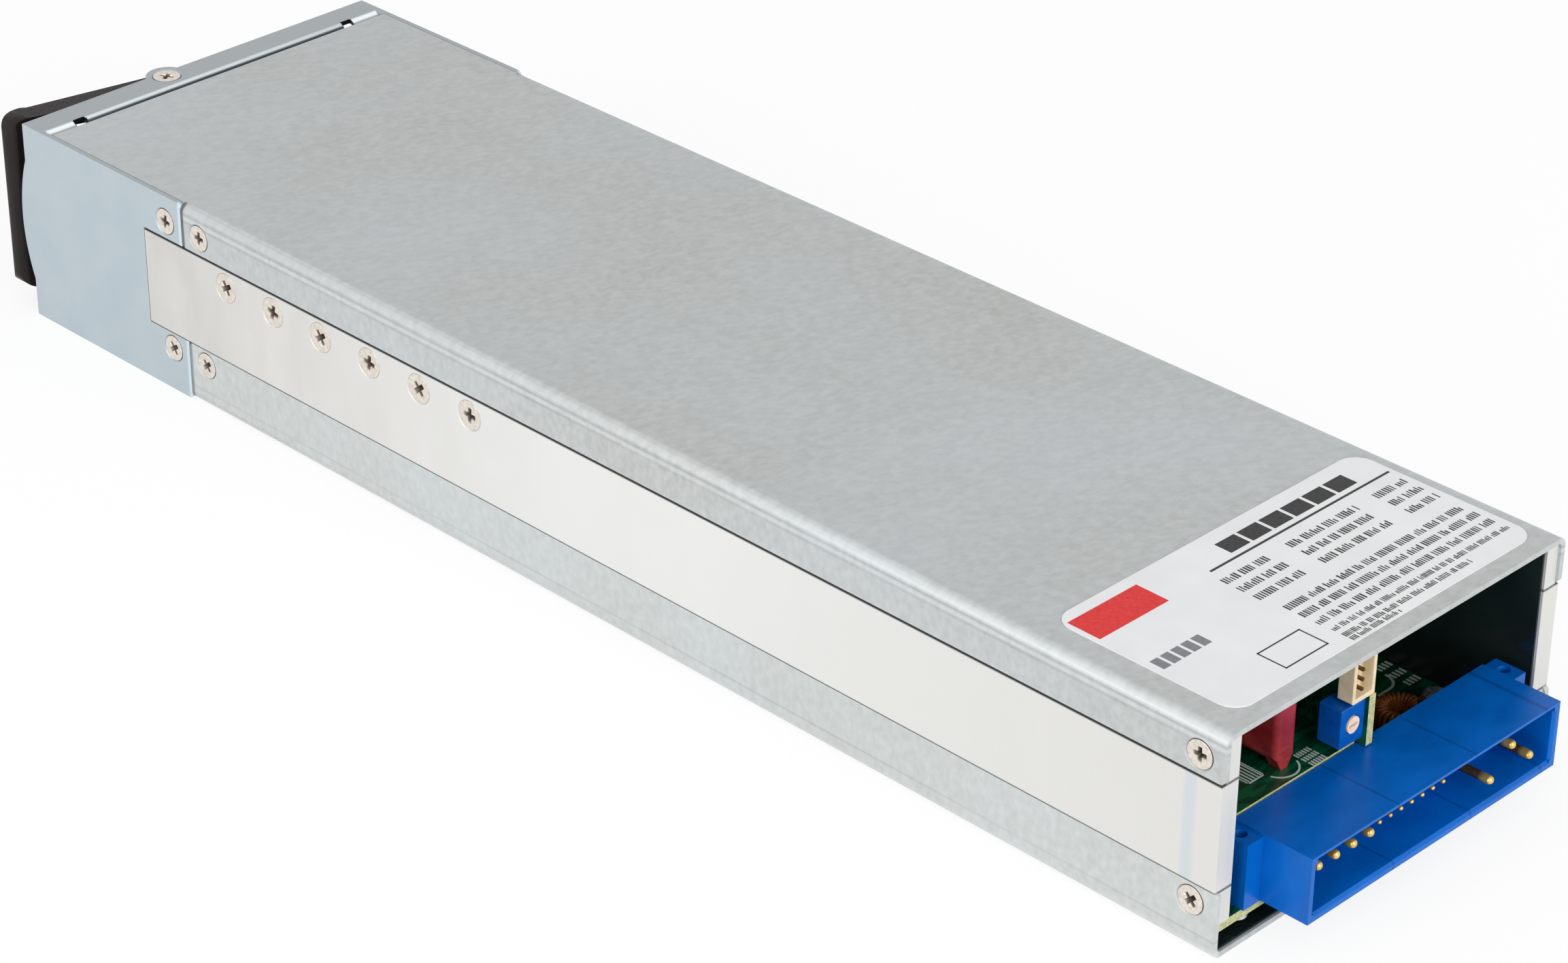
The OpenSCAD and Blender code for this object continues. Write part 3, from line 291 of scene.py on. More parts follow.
# Side plates: 4 mm aluminium, milled back where the sheets lie on it, so that a brushed strip is
# left flush with them. The transistors inside bolt to it and it carries their heat away.
def brushed_aluminium():
    """Pale warm metal with faint upright brush lines and smudges. Painted light makes it brightest at
    its middle and less bright again towards its rear end, a painted bluish reflection lies near its
    rear end, and painted shade darkens the seams along the covers."""
    mat, tree, shader = material("brushed_aluminium", srgb(205, 204, 200), 0.42, 0.25)
    low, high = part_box("right_side_plate")
    along = position(tree, 1)
    lines = speckle(tree, 0.6 * MM, (1, 1, 30), 3.0)
    smear = speckle(tree, 12 * MM, (1, 1, 2))
    wear = sums(tree, "ADD", between(tree, lines, 0, 0.22), between(tree, smear, 0, 0.78))
    shade = tint(tree, wear, srgb(190, 188, 184), srgb(206, 204, 201))
    # Painted light: brighter from the front to the middle, and less bright again towards the rear end.
    shade = tint(tree, between(tree, along, 0, 0.85, low.y, 0.0), shade, srgb(219, 219, 217))
    shade = tint(tree, between(tree, along, 0, 0.7, 40 * MM, high.y), shade, srgb(202, 201, 197))
    # Painted reflection: a bluish streak near the rear end.
    shade = mark(tree, shade, srgb(168, 186, 204), stripe(tree, 1, high.y - 6 * MM, 1.6 * MM), 0.35)
    # Painted shade in the seams along the covers.
    for shaded_seam in (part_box("top_cover")[0].z - 0.3 * MM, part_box("bottom_cover")[1].z):
        shade = mark(tree, shade, srgb(52, 56, 62), stripe(tree, 2, shaded_seam, 0.35 * MM), 0.85)
    tree.links.new(shade, shader.inputs["Base Color"])
    tree.links.new(between(tree, lines, 0.36, 0.5), shader.inputs["Roughness"])
    relief(tree, shader, lines, 0.002 * MM)
    return mat


dress(brushed_aluminium(), "right_side_plate", "left_side_plate")
soften(0.08 * MM, "right_side_plate", "left_side_plate")


# Front housing: 1 mm sheet with a bright bluish zinc plating, folded to two side walls, an upper
# and a lower lip that hold the handle's screws, and the fan guards with their stamped ring slots.
def inside(tree, axis, low, high):
    """1 between two places along an axis of the piece, and 0 outside them."""
    away = magnitude(tree, sums(tree, "SUBTRACT", position(tree, axis), (low + high) / 2))
    return node(tree, "Math", {0: away, 1: (high - low) / 2}, operation="LESS_THAN").outputs[0]


def facing(tree, axis):
    """How squarely a face looks along an axis, from -1 to 1."""
    face = node(tree, "NewGeometry").outputs["True Normal"]
    return node(tree, "SeparateXYZ", {0: face}).outputs[axis]


def bluish_zinc():
    """Smooth plating with weak clouds of grey-blue and a faint yellow cast. Painted shade makes it
    greyer on faces that look up. A painted highlight lies on the upper lip's bend, with painted
    shade on the lower part of the bend behind it; painted shade darkens its relief notches inside,
    and a painted highlight lies on the cut rear edges of the side walls."""
    mat, tree, shader = material("bluish_zinc_plating", srgb(176, 189, 196), 0.38, 0.25)
    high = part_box("front_housing")[1]
    bend_y = -143.8 * MM
    tongue_half = 32 * MM
    notch_half = 1.3 * MM
    notch_x = tongue_half + notch_half
    lip_inset = 1.3 * MM
    clouds = between(tree, speckle(tree, 11 * MM, detail=4.0), 0, 1, 0.25, 0.75)
    shade = tint(tree, clouds, srgb(166, 179, 187), srgb(175, 186, 192))
    yellowed = between(tree, speckle(tree, 20 * MM), 0, 1, 0.5, 0.8)
    shade = mark(tree, shade, srgb(184, 189, 186), yellowed, 0.25)
    # Painted shade: greyer on faces that look up.
    shade = tint(tree, between(tree, facing(tree, 2), 0, 1, 0.6, 0.9), shade, srgb(156, 162, 166))
    across = magnitude(tree, position(tree, 0))
    lip_height = inside(tree, 2, high.z - 2.5 * MM, high.z + 0.2 * MM)
    between_walls = inside(tree, 0, lip_inset - high.x, high.x - lip_inset)
    on_lip = sums(tree, "MULTIPLY", lip_height, between_walls)
    beside_tongue = between(tree, across, 0.55, 1.0, notch_x - 0.1 * MM, notch_x + 0.1 * MM)
    # Painted highlight on the upper lip's bend, brightest beside the tongue.
    bend_highlight = stripe(tree, 1, bend_y, 0.6 * MM)
    shade = mark(tree, shade, srgb(240, 246, 248), bend_highlight, on_lip, beside_tongue)
    # Painted shade on the lower part of the bend, behind the highlight.
    shaded_gap = stripe(tree, 1, bend_y + 0.8 * MM, 0.5 * MM)
    behind_tongue = inside(tree, 0, -tongue_half, tongue_half)
    shade = mark(tree, shade, srgb(40, 56, 62), shaded_gap, on_lip, behind_tongue)
    # Painted highlight on the cut rear edges of the side walls.
    rear_edge_highlight = stripe(tree, 1, housing_end - 0.4 * MM, 0.6 * MM)
    on_wall = between(tree, across, 0, 1, high.x - 0.7 * MM, high.x - 0.3 * MM)
    shade = mark(tree, shade, srgb(200, 217, 227), rear_edge_highlight, on_wall, 0.8)
    # Painted shade inside the relief notches beside the tongue.
    dark_half = notch_half + 0.15 * MM
    shaded_notch = node(tree, "Math", {0: across, 1: notch_x, 2: dark_half}, operation="COMPARE").outputs[0]
    notch_length = inside(tree, 1, bend_y - 1.0 * MM, bend_y + 2.3 * MM)
    below_top = inside(tree, 2, 0.0, high.z - 0.05 * MM)
    shade = mark(tree, shade, srgb(16, 20, 24), shaded_notch, notch_length, below_top)
    tree.links.new(shade, shader.inputs["Base Color"])
    tree.links.new(between(tree, clouds, 0.34, 0.42, 0, 1), shader.inputs["Roughness"])
    relief(tree, shader, speckle(tree, 0.6 * MM), 0.001 * MM)
    return mat


dress(bluish_zinc(), "front_housing")
soften(0.12 * MM, "front_housing")


# Countersunk screws, nickel plated and cross recessed. Eight hold the covers to the side plates and
# four the front housing. The handle turns on two, and four hold each fan behind its guard.
def skin(name, grids, loop=False, smooth_below=35):
    """Piece made of one or more grids of points, shaped (grids, rows, columns, 3), in metres. The
    columns run round and close on themselves. The rows run along: a flat face closes each end, or,
    with loop, the last row joins the first."""
    count, rows, columns = grids.shape[:3]
    first = np.arange(rows * columns).reshape(rows, columns)
    beside = np.roll(first, -1, 1)
    if loop:
        quads = np.stack([first, beside, np.roll(beside, -1, 0), np.roll(first, -1, 0)], -1)
    else:
        quads = np.stack([first[:-1], beside[:-1], beside[1:], first[1:]], -1)
    starts = np.arange(count)[:, None, None] * rows * columns
    faces = (quads.reshape(1, -1, 4) + starts).reshape(-1, 4).tolist()
    if not loop:
        faces += (np.stack([first[0][::-1], first[-1]])[None] + starts).reshape(-1, columns).tolist()
    mesh = bpy.data.meshes.new(name)
    mesh.from_pydata(grids.reshape(-1, 3).tolist(), [], faces)
    turned = bmesh.new()
    turned.from_mesh(mesh)
    bmesh.ops.recalc_face_normals(turned, faces=turned.faces)
    turned.to_mesh(mesh)
    turned.free()
    mesh.shade_smooth()
    mesh.set_sharp_from_angle(angle=radians(smooth_below))
    piece = bpy.data.objects.new(name, mesh)
    bpy.context.scene.collection.objects.link(piece)
    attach(piece, "module")
    return piece


def cross_screw(head_r, length):
    """Rows of a screw whose head is up at z = 0: the recess's floor, its wall and rim, the flat, the
    rounded edge, the cone and the threaded shank. At an angle a from the nearest wing the recess
    reaches to the smaller of wing / cos a and half its width / sin a. The thread's depth is a zigzag
    of the height in pitches plus the share of a full turn."""
    columns = 72
    turn = np.linspace(0, 2 * pi, columns, endpoint=False)
    off_wing = np.abs((turn + pi / 4) % (pi / 2) - pi / 4)
    wing = 0.52 * head_r
    half_width = 0.17 * head_r
    recess = np.minimum(wing / np.cos(off_wing), half_width / np.maximum(np.sin(off_wing), 0.01))
    rim = 1.08 * recess
    edge = 0.22 * MM
    shank_r = 1.45 * MM
    pitch = 0.5 * MM
    cone_z = -edge - (head_r - shank_r)
    round_off = np.linspace(0, pi / 2, 5)
    rings = [(0.45 * recess, -1.3 * MM), (0.86 * recess, -0.35 * MM), (recess, -0.04 * MM)]
    rings += [(rim, 0.0), (0.5 * (rim + head_r - edge), 0.0)]
    rings += [(head_r - edge * (1 - np.sin(a)), -edge * (1 - np.cos(a))) for a in round_off]
    rings += [(shank_r, cone_z)]
    for z in np.arange(cone_z - pitch, -length + pitch / 2, -pitch / 3):
        tooth = np.abs((z / pitch + turn / (2 * pi)) % 1 - 0.5)
        rings.append((shank_r - 0.5 * pitch * tooth, z))
    rings.append((0.8 * shank_r, -length))
    radius = np.stack([np.broadcast_to(r, turn.shape) for r, z in rings])
    height = np.array([z for r, z in rings])[:, None]
    return np.stack([radius * np.cos(turn), radius * np.sin(turn), np.broadcast_to(height, radius.shape)], -1)


def warm_nickel():
    """Cream nickel plating with fine wear, and painted shade that makes it nearly black in the recess
    and dark round the head's rim.
    """
    mat, tree, shader = material("warm_nickel", srgb(226, 216, 196), 0.3, 0.55)
    worn = tint(tree, between(tree, speckle(tree, 0.6 * MM), 0, 1), srgb(202, 193, 182), srgb(226, 218, 208))
    # Painted shade: dark in the recess and in a ring round the head's rim.
    painted_shade = node(tree, "Attribute", attribute_name="painted_shade").outputs["Fac"]
    tree.links.new(tint(tree, painted_shade, worn, srgb(62, 48, 44)), shader.inputs["Base Color"])
    tree.links.new(between(tree, painted_shade, 0.3, 0.7, 0, 1), shader.inputs["Roughness"])
    return mat


nickel = warm_nickel()


def screw_set(name, node_name, seats, out, head_r, length):
    """Screws that stand for a CAD node, each head at its seat and square to the direction out, each
    recess turned to an angle of its own. A point is its seat plus its x, y and z along three axes at
    right angles. Painted shade is 1 half a millimetre down in the recess and nearly 1 round the head."""
    seats = np.array(seats)
    out = np.broadcast_to(np.array(out, float), seats.shape)
    side = np.cross(out, np.where(np.abs(out[:, :1]) > 0.5, (0.0, 0.0, 1.0), (1.0, 0.0, 0.0)))
    turn = (0.5 + 2.4 * np.arange(len(seats)))[:, None]
    across = np.cos(turn) * side + np.sin(turn) * np.cross(out, side)
    axes = np.stack([across, np.cross(out, across), out], 1)
    rows = cross_screw(head_r, length)
    points = np.einsum("rck,nkj->nrcj", rows, axes) + seats[:, None, None]
    piece = skin(name, points)
    heights = np.broadcast_to(rows[:, :, 2], points.shape[:3]).ravel()
    radii = np.broadcast_to(np.hypot(rows[:, :, 0], rows[:, :, 1]), points.shape[:3]).ravel()
    # Painted shade: 1 down in the recess and nearly 1 in a ring round the head's rim.
    in_recess = (radii < 0.6 * head_r) * np.clip(-heights / (0.5 * MM), 0, 1)
    at_edge = 0.95 * (radii > 0.965 * head_r)
    layer = piece.data.attributes.new("painted_shade", "FLOAT", "POINT")
    layer.data.foreach_set("value", np.maximum(in_recess, at_edge).astype(np.float32))
    piece.data.materials.append(nickel)
    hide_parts(node_name)


def inset(name, head_r):
    """Lowest and highest screw centres of a CAD node: the corners of its box, a head's radius in."""
    low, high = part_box(name)
    return low + Vector((0, head_r, head_r)), high - Vector((0, head_r, head_r))


cover_head_r = 2.8 * MM
sunk = 0.05 * MM
head_gap = 0.2 * MM
side_length = 3.9 * MM
for node_name, pairs_along in (("cover_screws", 2), ("housing_screws", 1)):
    low, high = inset(node_name, cover_head_r)
    ys = (low.y, high.y)[:pairs_along]
    spots = [(s, y, z) for s in (-1, 1) for y in ys for z in (low.z, high.z)]
    seats = [(s * (high.x - sunk), y, z) for s, y, z in spots]
    out = [(s, 0, 0) for s, y, z in spots]
    screw_set("nickel_" + node_name, node_name, seats, out, cover_head_r - head_gap, side_length)

low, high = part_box("handle_pivot_screws")
pivot = (low + high) / 2
seats = [(pivot.x, pivot.y, high.z - sunk), (pivot.x, pivot.y, low.z + sunk)]
pivot_head_r = (high.x - low.x) / 2
pivot_length = 7.6 * MM
screw_set(
    "nickel_pivot_screws", "handle_pivot_screws", seats, [(0, 0, 1), (0, 0, -1)],
    pivot_head_r - head_gap, pivot_length
)

low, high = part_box("fan_screws")
hole_half = (high.z - low.z) / 2 - cover_head_r
tip_gap = 0.1 * MM
middle_z = (low.z + high.z) / 2
fan_boxes = [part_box(frame_name) for frame_name in ("left_fan_frame", "right_fan_frame")]
columns_x = [(a.x + b.x) / 2 + s * hole_half for a, b in fan_boxes for s in (-1, 1)]
seats = [(x, low.y + sunk, middle_z + s * hole_half) for x in columns_x for s in (-1, 1)]
fan_screw_length = high.y - low.y - tip_gap
screw_set("nickel_fan_screws", "fan_screws", seats, (0, -1, 0), cover_head_r - head_gap, fan_screw_length)


# Transistors: six moulded packages stand along the right side plate on silicone pads, each pulled
# against it by a countersunk screw through the strip and a nut.
transistor_head_r = 3.0 * MM
transistor_head_gap = 0.02 * MM
transistor_count = 6
low, high = inset("transistor_screws", transistor_head_r)
seats = [(high.x - sunk, y, (low.z + high.z) / 2) for y in np.linspace(low.y, high.y, transistor_count)]
screw_set(
    "nickel_transistor_screws", "transistor_screws", seats, (1, 0, 0),
    transistor_head_r - transistor_head_gap, high.x - low.x - tip_gap
)
moulded_epoxy = grained("moulded_epoxy", srgb(28, 28, 30), srgb(42, 42, 44), MM, 0.5, depth=0.004 * MM)
dress(moulded_epoxy, "transistors")
dress(grained("grey_silicone", srgb(140, 144, 146), srgb(158, 161, 163), MM, 0.7), "transistor_pads")
bright_zinc = grained("bright_zinc", srgb(186, 190, 192), srgb(216, 219, 220), 0.8 * MM, 0.3, metallic=0.8)
dress(bright_zinc, "transistor_nuts")


# Pull handle: a glass-filled nylon moulding that turns on its two screws, which are kept by lock
# nuts under the lips. Its surface is finely grained and its edges are rounded.
def black_nylon():
    """Near-black satin moulding with a fine spark-eroded grain and pale rubbed patches."""
    mat, tree, shader = material("black_nylon", srgb(26, 20, 18), 0.5, Specular_IOR_Level=0.25)
    grain = speckle(tree, 0.4 * MM, detail=3.0)
    rubbed = between(tree, speckle(tree, 8 * MM), 0, 0.5, 0.45, 0.8)
    tree.links.new(tint(tree, rubbed, srgb(19, 13, 11), srgb(31, 23, 20)), shader.inputs["Base Color"])
    tree.links.new(between(tree, grain, 0.42, 0.56), shader.inputs["Roughness"])
    relief(tree, shader, grain, 0.008 * MM)
    return mat


dress(black_nylon(), "pull_handle")
soften(0.5 * MM, "pull_handle")
dress(bright_zinc, "handle_pivot_nuts")


# Fans: two 38 mm square fans with nylon frames and seven-bladed rotors, side by side behind the
# guard, and three lights that light pipes carry from a small board to the front.
fan_nylon = grained("fan_nylon", srgb(24, 24, 26), srgb(36, 36, 38), 0.8 * MM, 0.42, depth=0.005 * MM)
dress(fan_nylon, "right_fan_frame", "left_fan_frame", "right_fan_rotor", "left_fan_rotor")
clear_acrylic = grained(
    "clear_acrylic", srgb(224, 238, 240), srgb(236, 246, 248), 3 * MM, 0.12, Transmission_Weight=0.85
)
dress(clear_acrylic, "status_light_pipes")
dress(grained("led_lens", srgb(228, 226, 190), srgb(240, 238, 208), MM, 0.25), "status_leds")


# Main board: a 1.6 mm printed board on six threaded standoffs, with an insulating film under it and
# another along the left plate. Solder resist covers its faces and the cut edges show pale fibre.
def solder_resist(name, axis=2):
    """Green resist over faint tracks on the two faces square to an axis. The other faces are cut fibre."""
    mat, tree, shader = material(name, srgb(0, 74, 46), 0.26)
    tracks = speckle(tree, 1.6 * MM, (3, 1, 1), 1.0)
    shade = tint(tree, between(tree, tracks, 0, 1, 0.47, 0.53), srgb(0, 60, 38), srgb(4, 84, 54))
    fibre = tint(tree, between(tree, speckle(tree, 0.5 * MM), 0, 1), srgb(150, 158, 108), srgb(200, 196, 148))
    cut = between(tree, magnitude(tree, facing(tree, axis)), 1, 0, 0.5, 0.6)
    tree.links.new(tint(tree, cut, shade, fibre), shader.inputs["Base Color"])
    tree.links.new(between(tree, cut, 0.26, 0.7, 0, 1), shader.inputs["Roughness"])
    return mat


def ink(name, shade):
    """Printed ink: one even shade, a little thin in places."""
    return grained(name, shade, tuple(0.85 * c for c in shade[:3]) + (1.0,), 0.6 * MM, 0.5)


def printed(name, rings, mat):
    """A print's piece, from the rings of points of its blocks or of its line."""
    piece = skin(name, rings)
    piece.data.materials.append(mat)


def bars(name, spans, low_z, high_z, mat, slot):
    """Printed blocks: each span of x0, x1, y0, y1 in millimetres is a flat box between two heights."""
    x0, x1, y0, y1 = np.array(spans).T * MM
    corners = np.stack([np.stack([x0, x1, x1, x0], 1), np.stack([y0, y0, y1, y1], 1)], -1)
    levels = [np.concatenate([corners, np.full((*corners.shape[:2], 1), z)], -1) for z in (low_z, high_z)]
    printed(name, np.stack(levels, 1), mat)


def drawn_line(name, path, width, low_z, high_z, mat, slot):
    """Printed line along a path of x, y points in millimetres. Its edges lie half the width to each
    side, square to the direction from the point before to the point after."""
    path = np.array(path) * MM
    along = np.gradient(path, axis=0)
    along /= np.linalg.norm(along, axis=1, keepdims=True)
    side = np.stack([-along[:, 1], along[:, 0]], 1) * width * MM / 2
    left, right = path + side, path - side
    rings = [
        np.concatenate([edge, np.full((len(path), 1), z)], 1)
        for edge, z in ((left, low_z), (right, low_z), (right, high_z), (left, high_z))
    ]
    printed(name, np.stack(rings, 1)[None], mat)


def arc(x, y, radius, start, end):
    """Points on a circle round (x, y) between two angles in degrees."""
    turn = np.radians(np.linspace(start, end, 24))
    return np.stack([x + radius * np.cos(turn), y + radius * np.sin(turn)], 1)


board_print = ink("white_board_print", srgb(196, 204, 200))
ink_sunk = 0.01 * MM
ink_t = 0.03 * MM
dress(solder_resist("main_board_resist"), "main_board")
main_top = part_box("main_board")[1].z
on_main = (main_top - ink_sunk, main_top + ink_t, board_print, "green_board")
hook = np.concatenate([[(-28.1, 126.3)], arc(-31.2, 123.3, 3.0, 90, 185)])
drawn_line("main_board_hook", hook, 0.5, *on_main)
drawn_line("main_board_ring_outline", arc(-23.1, 134.5, 5.6, 100, 260), 0.4, *on_main)
note_ys = (120.4, 123.4, 126.4)
notes = [(-38.6 + 0.9 * i, -38.1 + 0.9 * i, y, y + 1.6) for y in note_ys for i in range(5)]
bars("main_board_notes", notes, *on_main)
dress(bright_zinc, "board_standoffs", "board_screws", "connector_screws", "upper_spacers")
black_film = grained("black_film", srgb(22, 31, 31), srgb(34, 46, 45), 20 * MM, 0.16)
dress(black_film, "bottom_insulation_sheet", "side_insulation_sheet")
dress(solder_resist("light_board_resist", axis=1), "status_led_board")


# Upper board: a second printed board behind the connector, level with its top. It stands on two
# spacers and the control board, and carries the film capacitor.
dress(solder_resist("upper_board_resist"), "upper_board")
upper_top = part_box("upper_board")[1].z
on_upper = (upper_top - ink_sunk, upper_top + ink_t, board_print, "green_board")
notes = [(8.4 + 0.62 * i, 8.76 + 0.62 * i, y, y + 1.1) for y in (139.4, 140.9, 142.4) for i in range(6)]
hatch = [(19.6 + 0.7 * i, 19.9 + 0.7 * i, 134.6, 139.4) for i in range(5)]
hatch_border = [
    (19.2, 23.2, 134.2, 134.5), (19.2, 23.2, 139.5, 139.8),
    (19.2, 19.45, 134.2, 139.8), (22.95, 23.2, 134.2, 139.8)
]
bars("upper_board_notes", notes + hatch + hatch_border, *on_upper)
drawn_line("upper_board_capacitor_outline", arc(15.8, 139.6, 3.4, 20, 160), 0.35, *on_upper)


# Control board: a small upright board at the middle that reaches out over the connector. A trimmer
# sets the output voltage from the rear, and a cream socket above it takes a test lead.
dress(solder_resist("control_board_resist", axis=0), "control_board")
dress(moulded_epoxy, "control_chips")
trimmer_blue = grained(
    "trimmer_blue", srgb(0, 76, 158), srgb(0, 88, 176), 2 * MM, 0.3, Specular_IOR_Level=0.25
)
dress(trimmer_blue, "trimmer_body")
soften(0.3 * MM, "trimmer_body")
dress(grained("dial_nylon", srgb(222, 196, 172), srgb(240, 218, 196), 0.8 * MM, 0.45), "trimmer_adjuster")
dress(grained("cream_nylon", srgb(214, 196, 160), srgb(230, 214, 180), 2 * MM, 0.42), "header_socket")
soften(0.25 * MM, "header_socket")


# Film capacitor and filter ring: a red dipped block on its two legs beside the trimmer, and an
# enamelled wire wound round a small powder core.
hole_share = 0.42


def torus_winding(name, node_name, turns, wire_r, mat):
    """Enamelled wire wound round a ring, which stands for a CAD node. Along the wire, the angle round
    the ring runs once while the angle round its section runs through all the turns. The section is
    a rounded box: its half width times cos to the power 0.6, and its half height times sin to the
    power 0.6, signs kept."""
    low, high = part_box(node_name)
    outer = (high.x - low.x) / 2
    inner = hole_share * outer
    steps = 16
    along = np.linspace(0, 2 * pi, turns * steps, endpoint=False)
    winding = turns * along
    bulge = np.stack([np.cos(winding), np.sin(winding)])
    bulge = np.sign(bulge) * np.abs(bulge) ** 0.6
    radius = (outer + inner) / 2 + ((outer - inner) / 2 - wire_r) * bulge[0]
    height = (low.z + high.z) / 2 + ((high.z - low.z) / 2 - wire_r) * bulge[1]
    centre = (low + high) / 2
    path = np.stack([centre.x + radius * np.cos(along), centre.y + radius * np.sin(along), height], 1)
    ahead = np.roll(path, -1, 0) - np.roll(path, 1, 0)
    ahead /= np.linalg.norm(ahead, axis=1, keepdims=True)
    round_ring = np.stack([-np.sin(along), np.cos(along), np.zeros_like(along)], 1)
    side = np.cross(ahead, round_ring)
    side /= np.linalg.norm(side, axis=1, keepdims=True)
    other = np.cross(ahead, side)
    turn = np.linspace(0, 2 * pi, 7, endpoint=False)[None, :, None]
    tube = path[:, None] + wire_r * (np.cos(turn) * side[:, None] + np.sin(turn) * other[:, None])
    piece = skin(name, tube[None], loop=True, smooth_below=60)
    piece.data.materials.append(mat)
    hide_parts(node_name)


def ring_core(name, node_name, cover):
    """Core inside a winding of that thickness: a rounded box section carried round a circle. The
    section's half width goes with the root of cos, and its half height with the root of sin."""
    low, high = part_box(node_name)
    outer = (high.x - low.x) / 2 - cover
    inner = hole_share * (outer + cover) + cover
    section = np.linspace(0, 2 * pi, 24, endpoint=False)
    bulge = np.stack([np.cos(section), np.sin(section)])
    bulge = np.sign(bulge) * np.abs(bulge) ** 0.5
    radius = (outer + inner) / 2 + (outer - inner) / 2 * bulge[0]
    height = (low.z + high.z) / 2 + ((high.z - low.z) / 2 - cover) * bulge[1]
    turn = np.linspace(0, 2 * pi, 48, endpoint=False)[:, None]
    centre = (low + high) / 2
    x = centre.x + radius * np.cos(turn)
    y = centre.y + radius * np.sin(turn)
    points = np.stack([x, y, np.broadcast_to(height, x.shape)], -1)
    return skin(name, points[None], loop=True, smooth_below=60)


def red_dip():
    """Dipped resin: deep red with an orange cast where it is thin, and a soft orange-peel surface."""
    mat, tree, shader = material("red_dip", srgb(150, 42, 44), 0.24)
    thin = between(tree, speckle(tree, 4 * MM), 0, 1, 0.35, 0.75)
    tree.links.new(tint(tree, thin, srgb(128, 26, 34), srgb(164, 54, 52)), shader.inputs["Base Color"])
    relief(tree, shader, speckle(tree, 1.2 * MM), 0.02 * MM)
    return mat


dress(red_dip(), "film_capacitor")
orange_enamel = grained("orange_enamel", srgb(120, 62, 20), srgb(178, 98, 40), 1.5 * MM, 0.28)
torus_winding("filter_ring_wire", "filter_ring", 26, 0.36 * MM, orange_enamel)
core = ring_core("filter_ring_core", "filter_ring", 0.6 * MM)
core.data.materials.append(grained("powder_core", srgb(48, 48, 44), srgb(66, 64, 58), MM, 0.6))


# Rear connector: one glossy blue moulding, screwed to the board through its ears, with fourteen
# turned gold-plated pins of two sizes inside its shroud.
def blue_moulding():
    """Saturated blue plastic with slight flow clouds and three dark lines across its length: two fine
    ones, and a wider one near the far end that is painted shade in a groove.
    """
    mat, tree, shader = material("blue_moulding", srgb(0, 84, 168), 0.3, Specular_IOR_Level=0.22)
    flow = between(tree, speckle(tree, 10 * MM, (1, 0.5, 1), 3.0), 0, 1, 0.3, 0.75)
    shade = tint(tree, flow, srgb(0, 86, 170), srgb(0, 100, 192))
    # Dark lines across the top; the wide one near the far end is painted shade in a groove.
    lines = [stripe(tree, 0, x * MM, half * MM) for x, half in ((10.4, 0.3), (-9.5, 0.3), (-28.1, 0.6))]
    shade = mark(tree, shade, srgb(0, 44, 104), sums(tree, "MAXIMUM", *lines), 0.4)
    tree.links.new(shade, shader.inputs["Base Color"])
    tree.links.new(between(tree, flow, 0.26, 0.36, 0, 1), shader.inputs["Roughness"])
    relief(tree, shader, speckle(tree, 2 * MM), 0.004 * MM)
    return mat


dress(blue_moulding(), "rear_connector")
soften(0.12 * MM, "rear_connector")


def gold_plating():
    """Bright gold at the pins' round tips, and painted shade that turns it brown along their shanks."""
    mat, tree, shader = material("gold_plating", srgb(226, 184, 102), 0.26, 0.7)
    grain = between(tree, speckle(tree, MM), 0, 1)
    bright = tint(tree, grain, srgb(214, 168, 84), srgb(240, 202, 122))
    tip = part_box("connector_power_pins")[1].y
    # Painted shade: brown along the shanks, back from the tips.
    shaded_shank = between(tree, position(tree, 1), 0.9, 0, tip - 2.6 * MM, tip - 1.6 * MM)
    tree.links.new(tint(tree, shaded_shank, bright, srgb(84, 54, 34)), shader.inputs["Base Color"])
    return mat


dress(gold_plating(), "connector_power_pins", "connector_signal_pins", "header_pins")


# Power parts: they stand on the main board as the current passes them. The mains parts go forwards
# along the left side, and the parts of the output come back along the right side to the connector.
def can_sleeve():
    """Dark blue heat-shrunk sleeve, a little uneven in colour, and a bare aluminium top."""
    mat, tree, shader = material("can_sleeve", srgb(24, 34, 78), 0.28)
    shade = tint(tree, between(tree, speckle(tree, 10 * MM), 0, 1), srgb(18, 26, 64), srgb(28, 40, 88))
    top = between(tree, facing(tree, 2), 0, 1, 0.7, 0.8)
    tree.links.new(tint(tree, top, shade, srgb(190, 192, 194)), shader.inputs["Base Color"])
    tree.links.new(between(tree, top, 0, 0.8, 0, 1), shader.inputs["Metallic"])
    return mat


dress(can_sleeve(), "bulk_capacitors", "output_capacitors")
ferrite = grained("ferrite", srgb(52, 52, 54), srgb(74, 74, 76), MM, 0.55, depth=0.006 * MM)
dress(ferrite, "boost_choke_core", "transformer_core", "output_choke", "mains_choke_core")
copper = grained("enamelled_copper", srgb(150, 76, 34), srgb(198, 112, 60), 2 * MM, 0.25, metallic=0.6)
torus_winding("boost_choke_wire", "boost_choke_winding", 44, 0.75 * MM, copper)
torus_winding("mains_choke_wire", "mains_choke_winding", 34, 0.6 * MM, copper)
dress(grained("polyester_tape", srgb(206, 172, 66), srgb(222, 192, 88), 4 * MM, 0.35), "transformer_winding")
dress(grained("yellow_case", srgb(204, 164, 52), srgb(218, 180, 66), 3 * MM, 0.3), "mains_capacitor")
dress(moulded_epoxy, "relay")
dress(grained("ceramic_tube", srgb(212, 208, 194), srgb(226, 222, 210), 2 * MM, 0.3), "fuse")


# Rating label: white polyester film with round corners, stuck flat on the top cover. Its print is
# plain: a red band, a title of heavy blocks, a rule, an empty box and rows of short strokes.
dress(grained("label_film", srgb(220, 221, 222), srgb(227, 228, 229), 10 * MM, 0.4), "rating_label")
label_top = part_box("rating_label")[1].z
print_levels = (label_top - 0.03 * MM, label_top + 0.015 * MM)


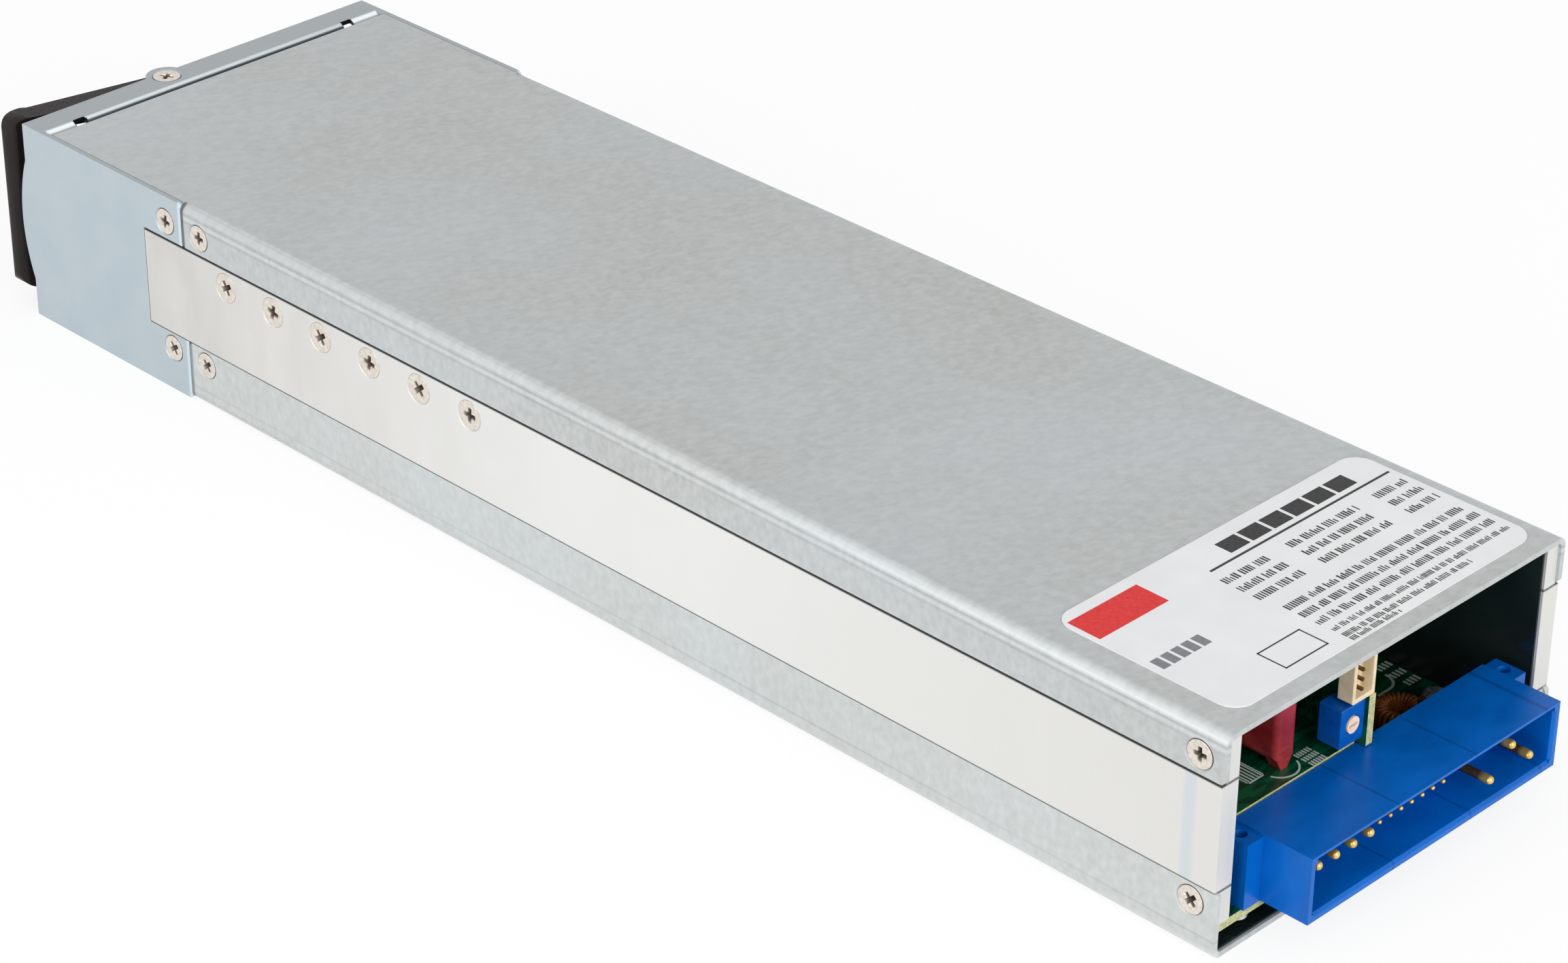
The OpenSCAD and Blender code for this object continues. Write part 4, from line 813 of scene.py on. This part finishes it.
def text_row(start, end, y, height, seed):
    """A row of upright strokes between two places, in words of 3 to 8 strokes with a gap after each.
    The strokes stand 0.36 of the row's height apart, each is about half that wide, and about one in
    four starts higher up."""
    chance = np.random.default_rng(seed)
    pitch = 0.36 * height
    count = int(abs(end - start) / pitch)
    width = pitch * chance.uniform(0.42, 0.68, count)
    words = np.cumsum(chance.integers(4, 10, count))
    kept = np.setdiff1d(np.arange(count), words)
    left = start - pitch * kept
    foot = y + np.where(chance.random(len(kept)) < 0.25, 0.3 * height, 0)
    return np.stack([left - width[kept], left, foot, np.full(len(kept), y + height)], 1)


dark_rows = [
    (8.6, -3.3, 120.0, 1.7), (-7.6, -25.5, 120.0, 1.7), (-30.0, -38.2, 120.0, 1.7),
    (8.6, -3.3, 123.3, 1.7), (-7.6, -25.5, 123.3, 1.7), (-30.0, -38.2, 123.3, 1.7),
    (8.6, -3.3, 126.7, 1.7), (-7.6, -25.5, 126.7, 1.7), (-30.0, -38.2, 126.7, 1.7),
    (7.7, -38.0, 132.0, 1.6), (7.7, -38.0, 135.0, 1.6), (7.7, -38.0, 138.0, 1.6),
    (7.5, -38.0, 141.2, 1.2), (7.5, -25.0, 143.5, 1.2), (7.5, -5.1, 145.0, 1.1)
]
text = np.concatenate([text_row(*row, seed) for seed, row in enumerate(dark_rows)])
title = [(-4.1 - 5.5 * i, 0.7 - 5.5 * i, 112.3, 115.9) for i in range(6)]
rule = [(-38.2, 7.6, 117.0, 117.5)]
empty_box = [
    (11.0, 21.4, 138.0, 138.3), (11.0, 21.4, 143.7, 144.0),
    (11.0, 11.3, 138.0, 144.0), (21.1, 21.4, 138.0, 144.0)
]
black_print = np.concatenate([text, title, rule, empty_box])
red_print = [(19.0, 35.4, 111.6, 118.4)]
grey_print = [(23.5 + 2.4 * i, 25.3 + 2.4 * i, 128.0, 131.0) for i in range(5)]
black_ink = ink("black_label_ink", srgb(10, 10, 11))
red_ink = ink("red_label_ink", srgb(216, 20, 18))
grey_ink = ink("grey_label_ink", srgb(120, 122, 126))
bars("label_rows", black_print, *print_levels, black_ink, "label_film")
bars("label_red_band", red_print, *print_levels, red_ink, "label_film")
bars("label_grey_bars", grey_print, *print_levels, grey_ink, "label_film")
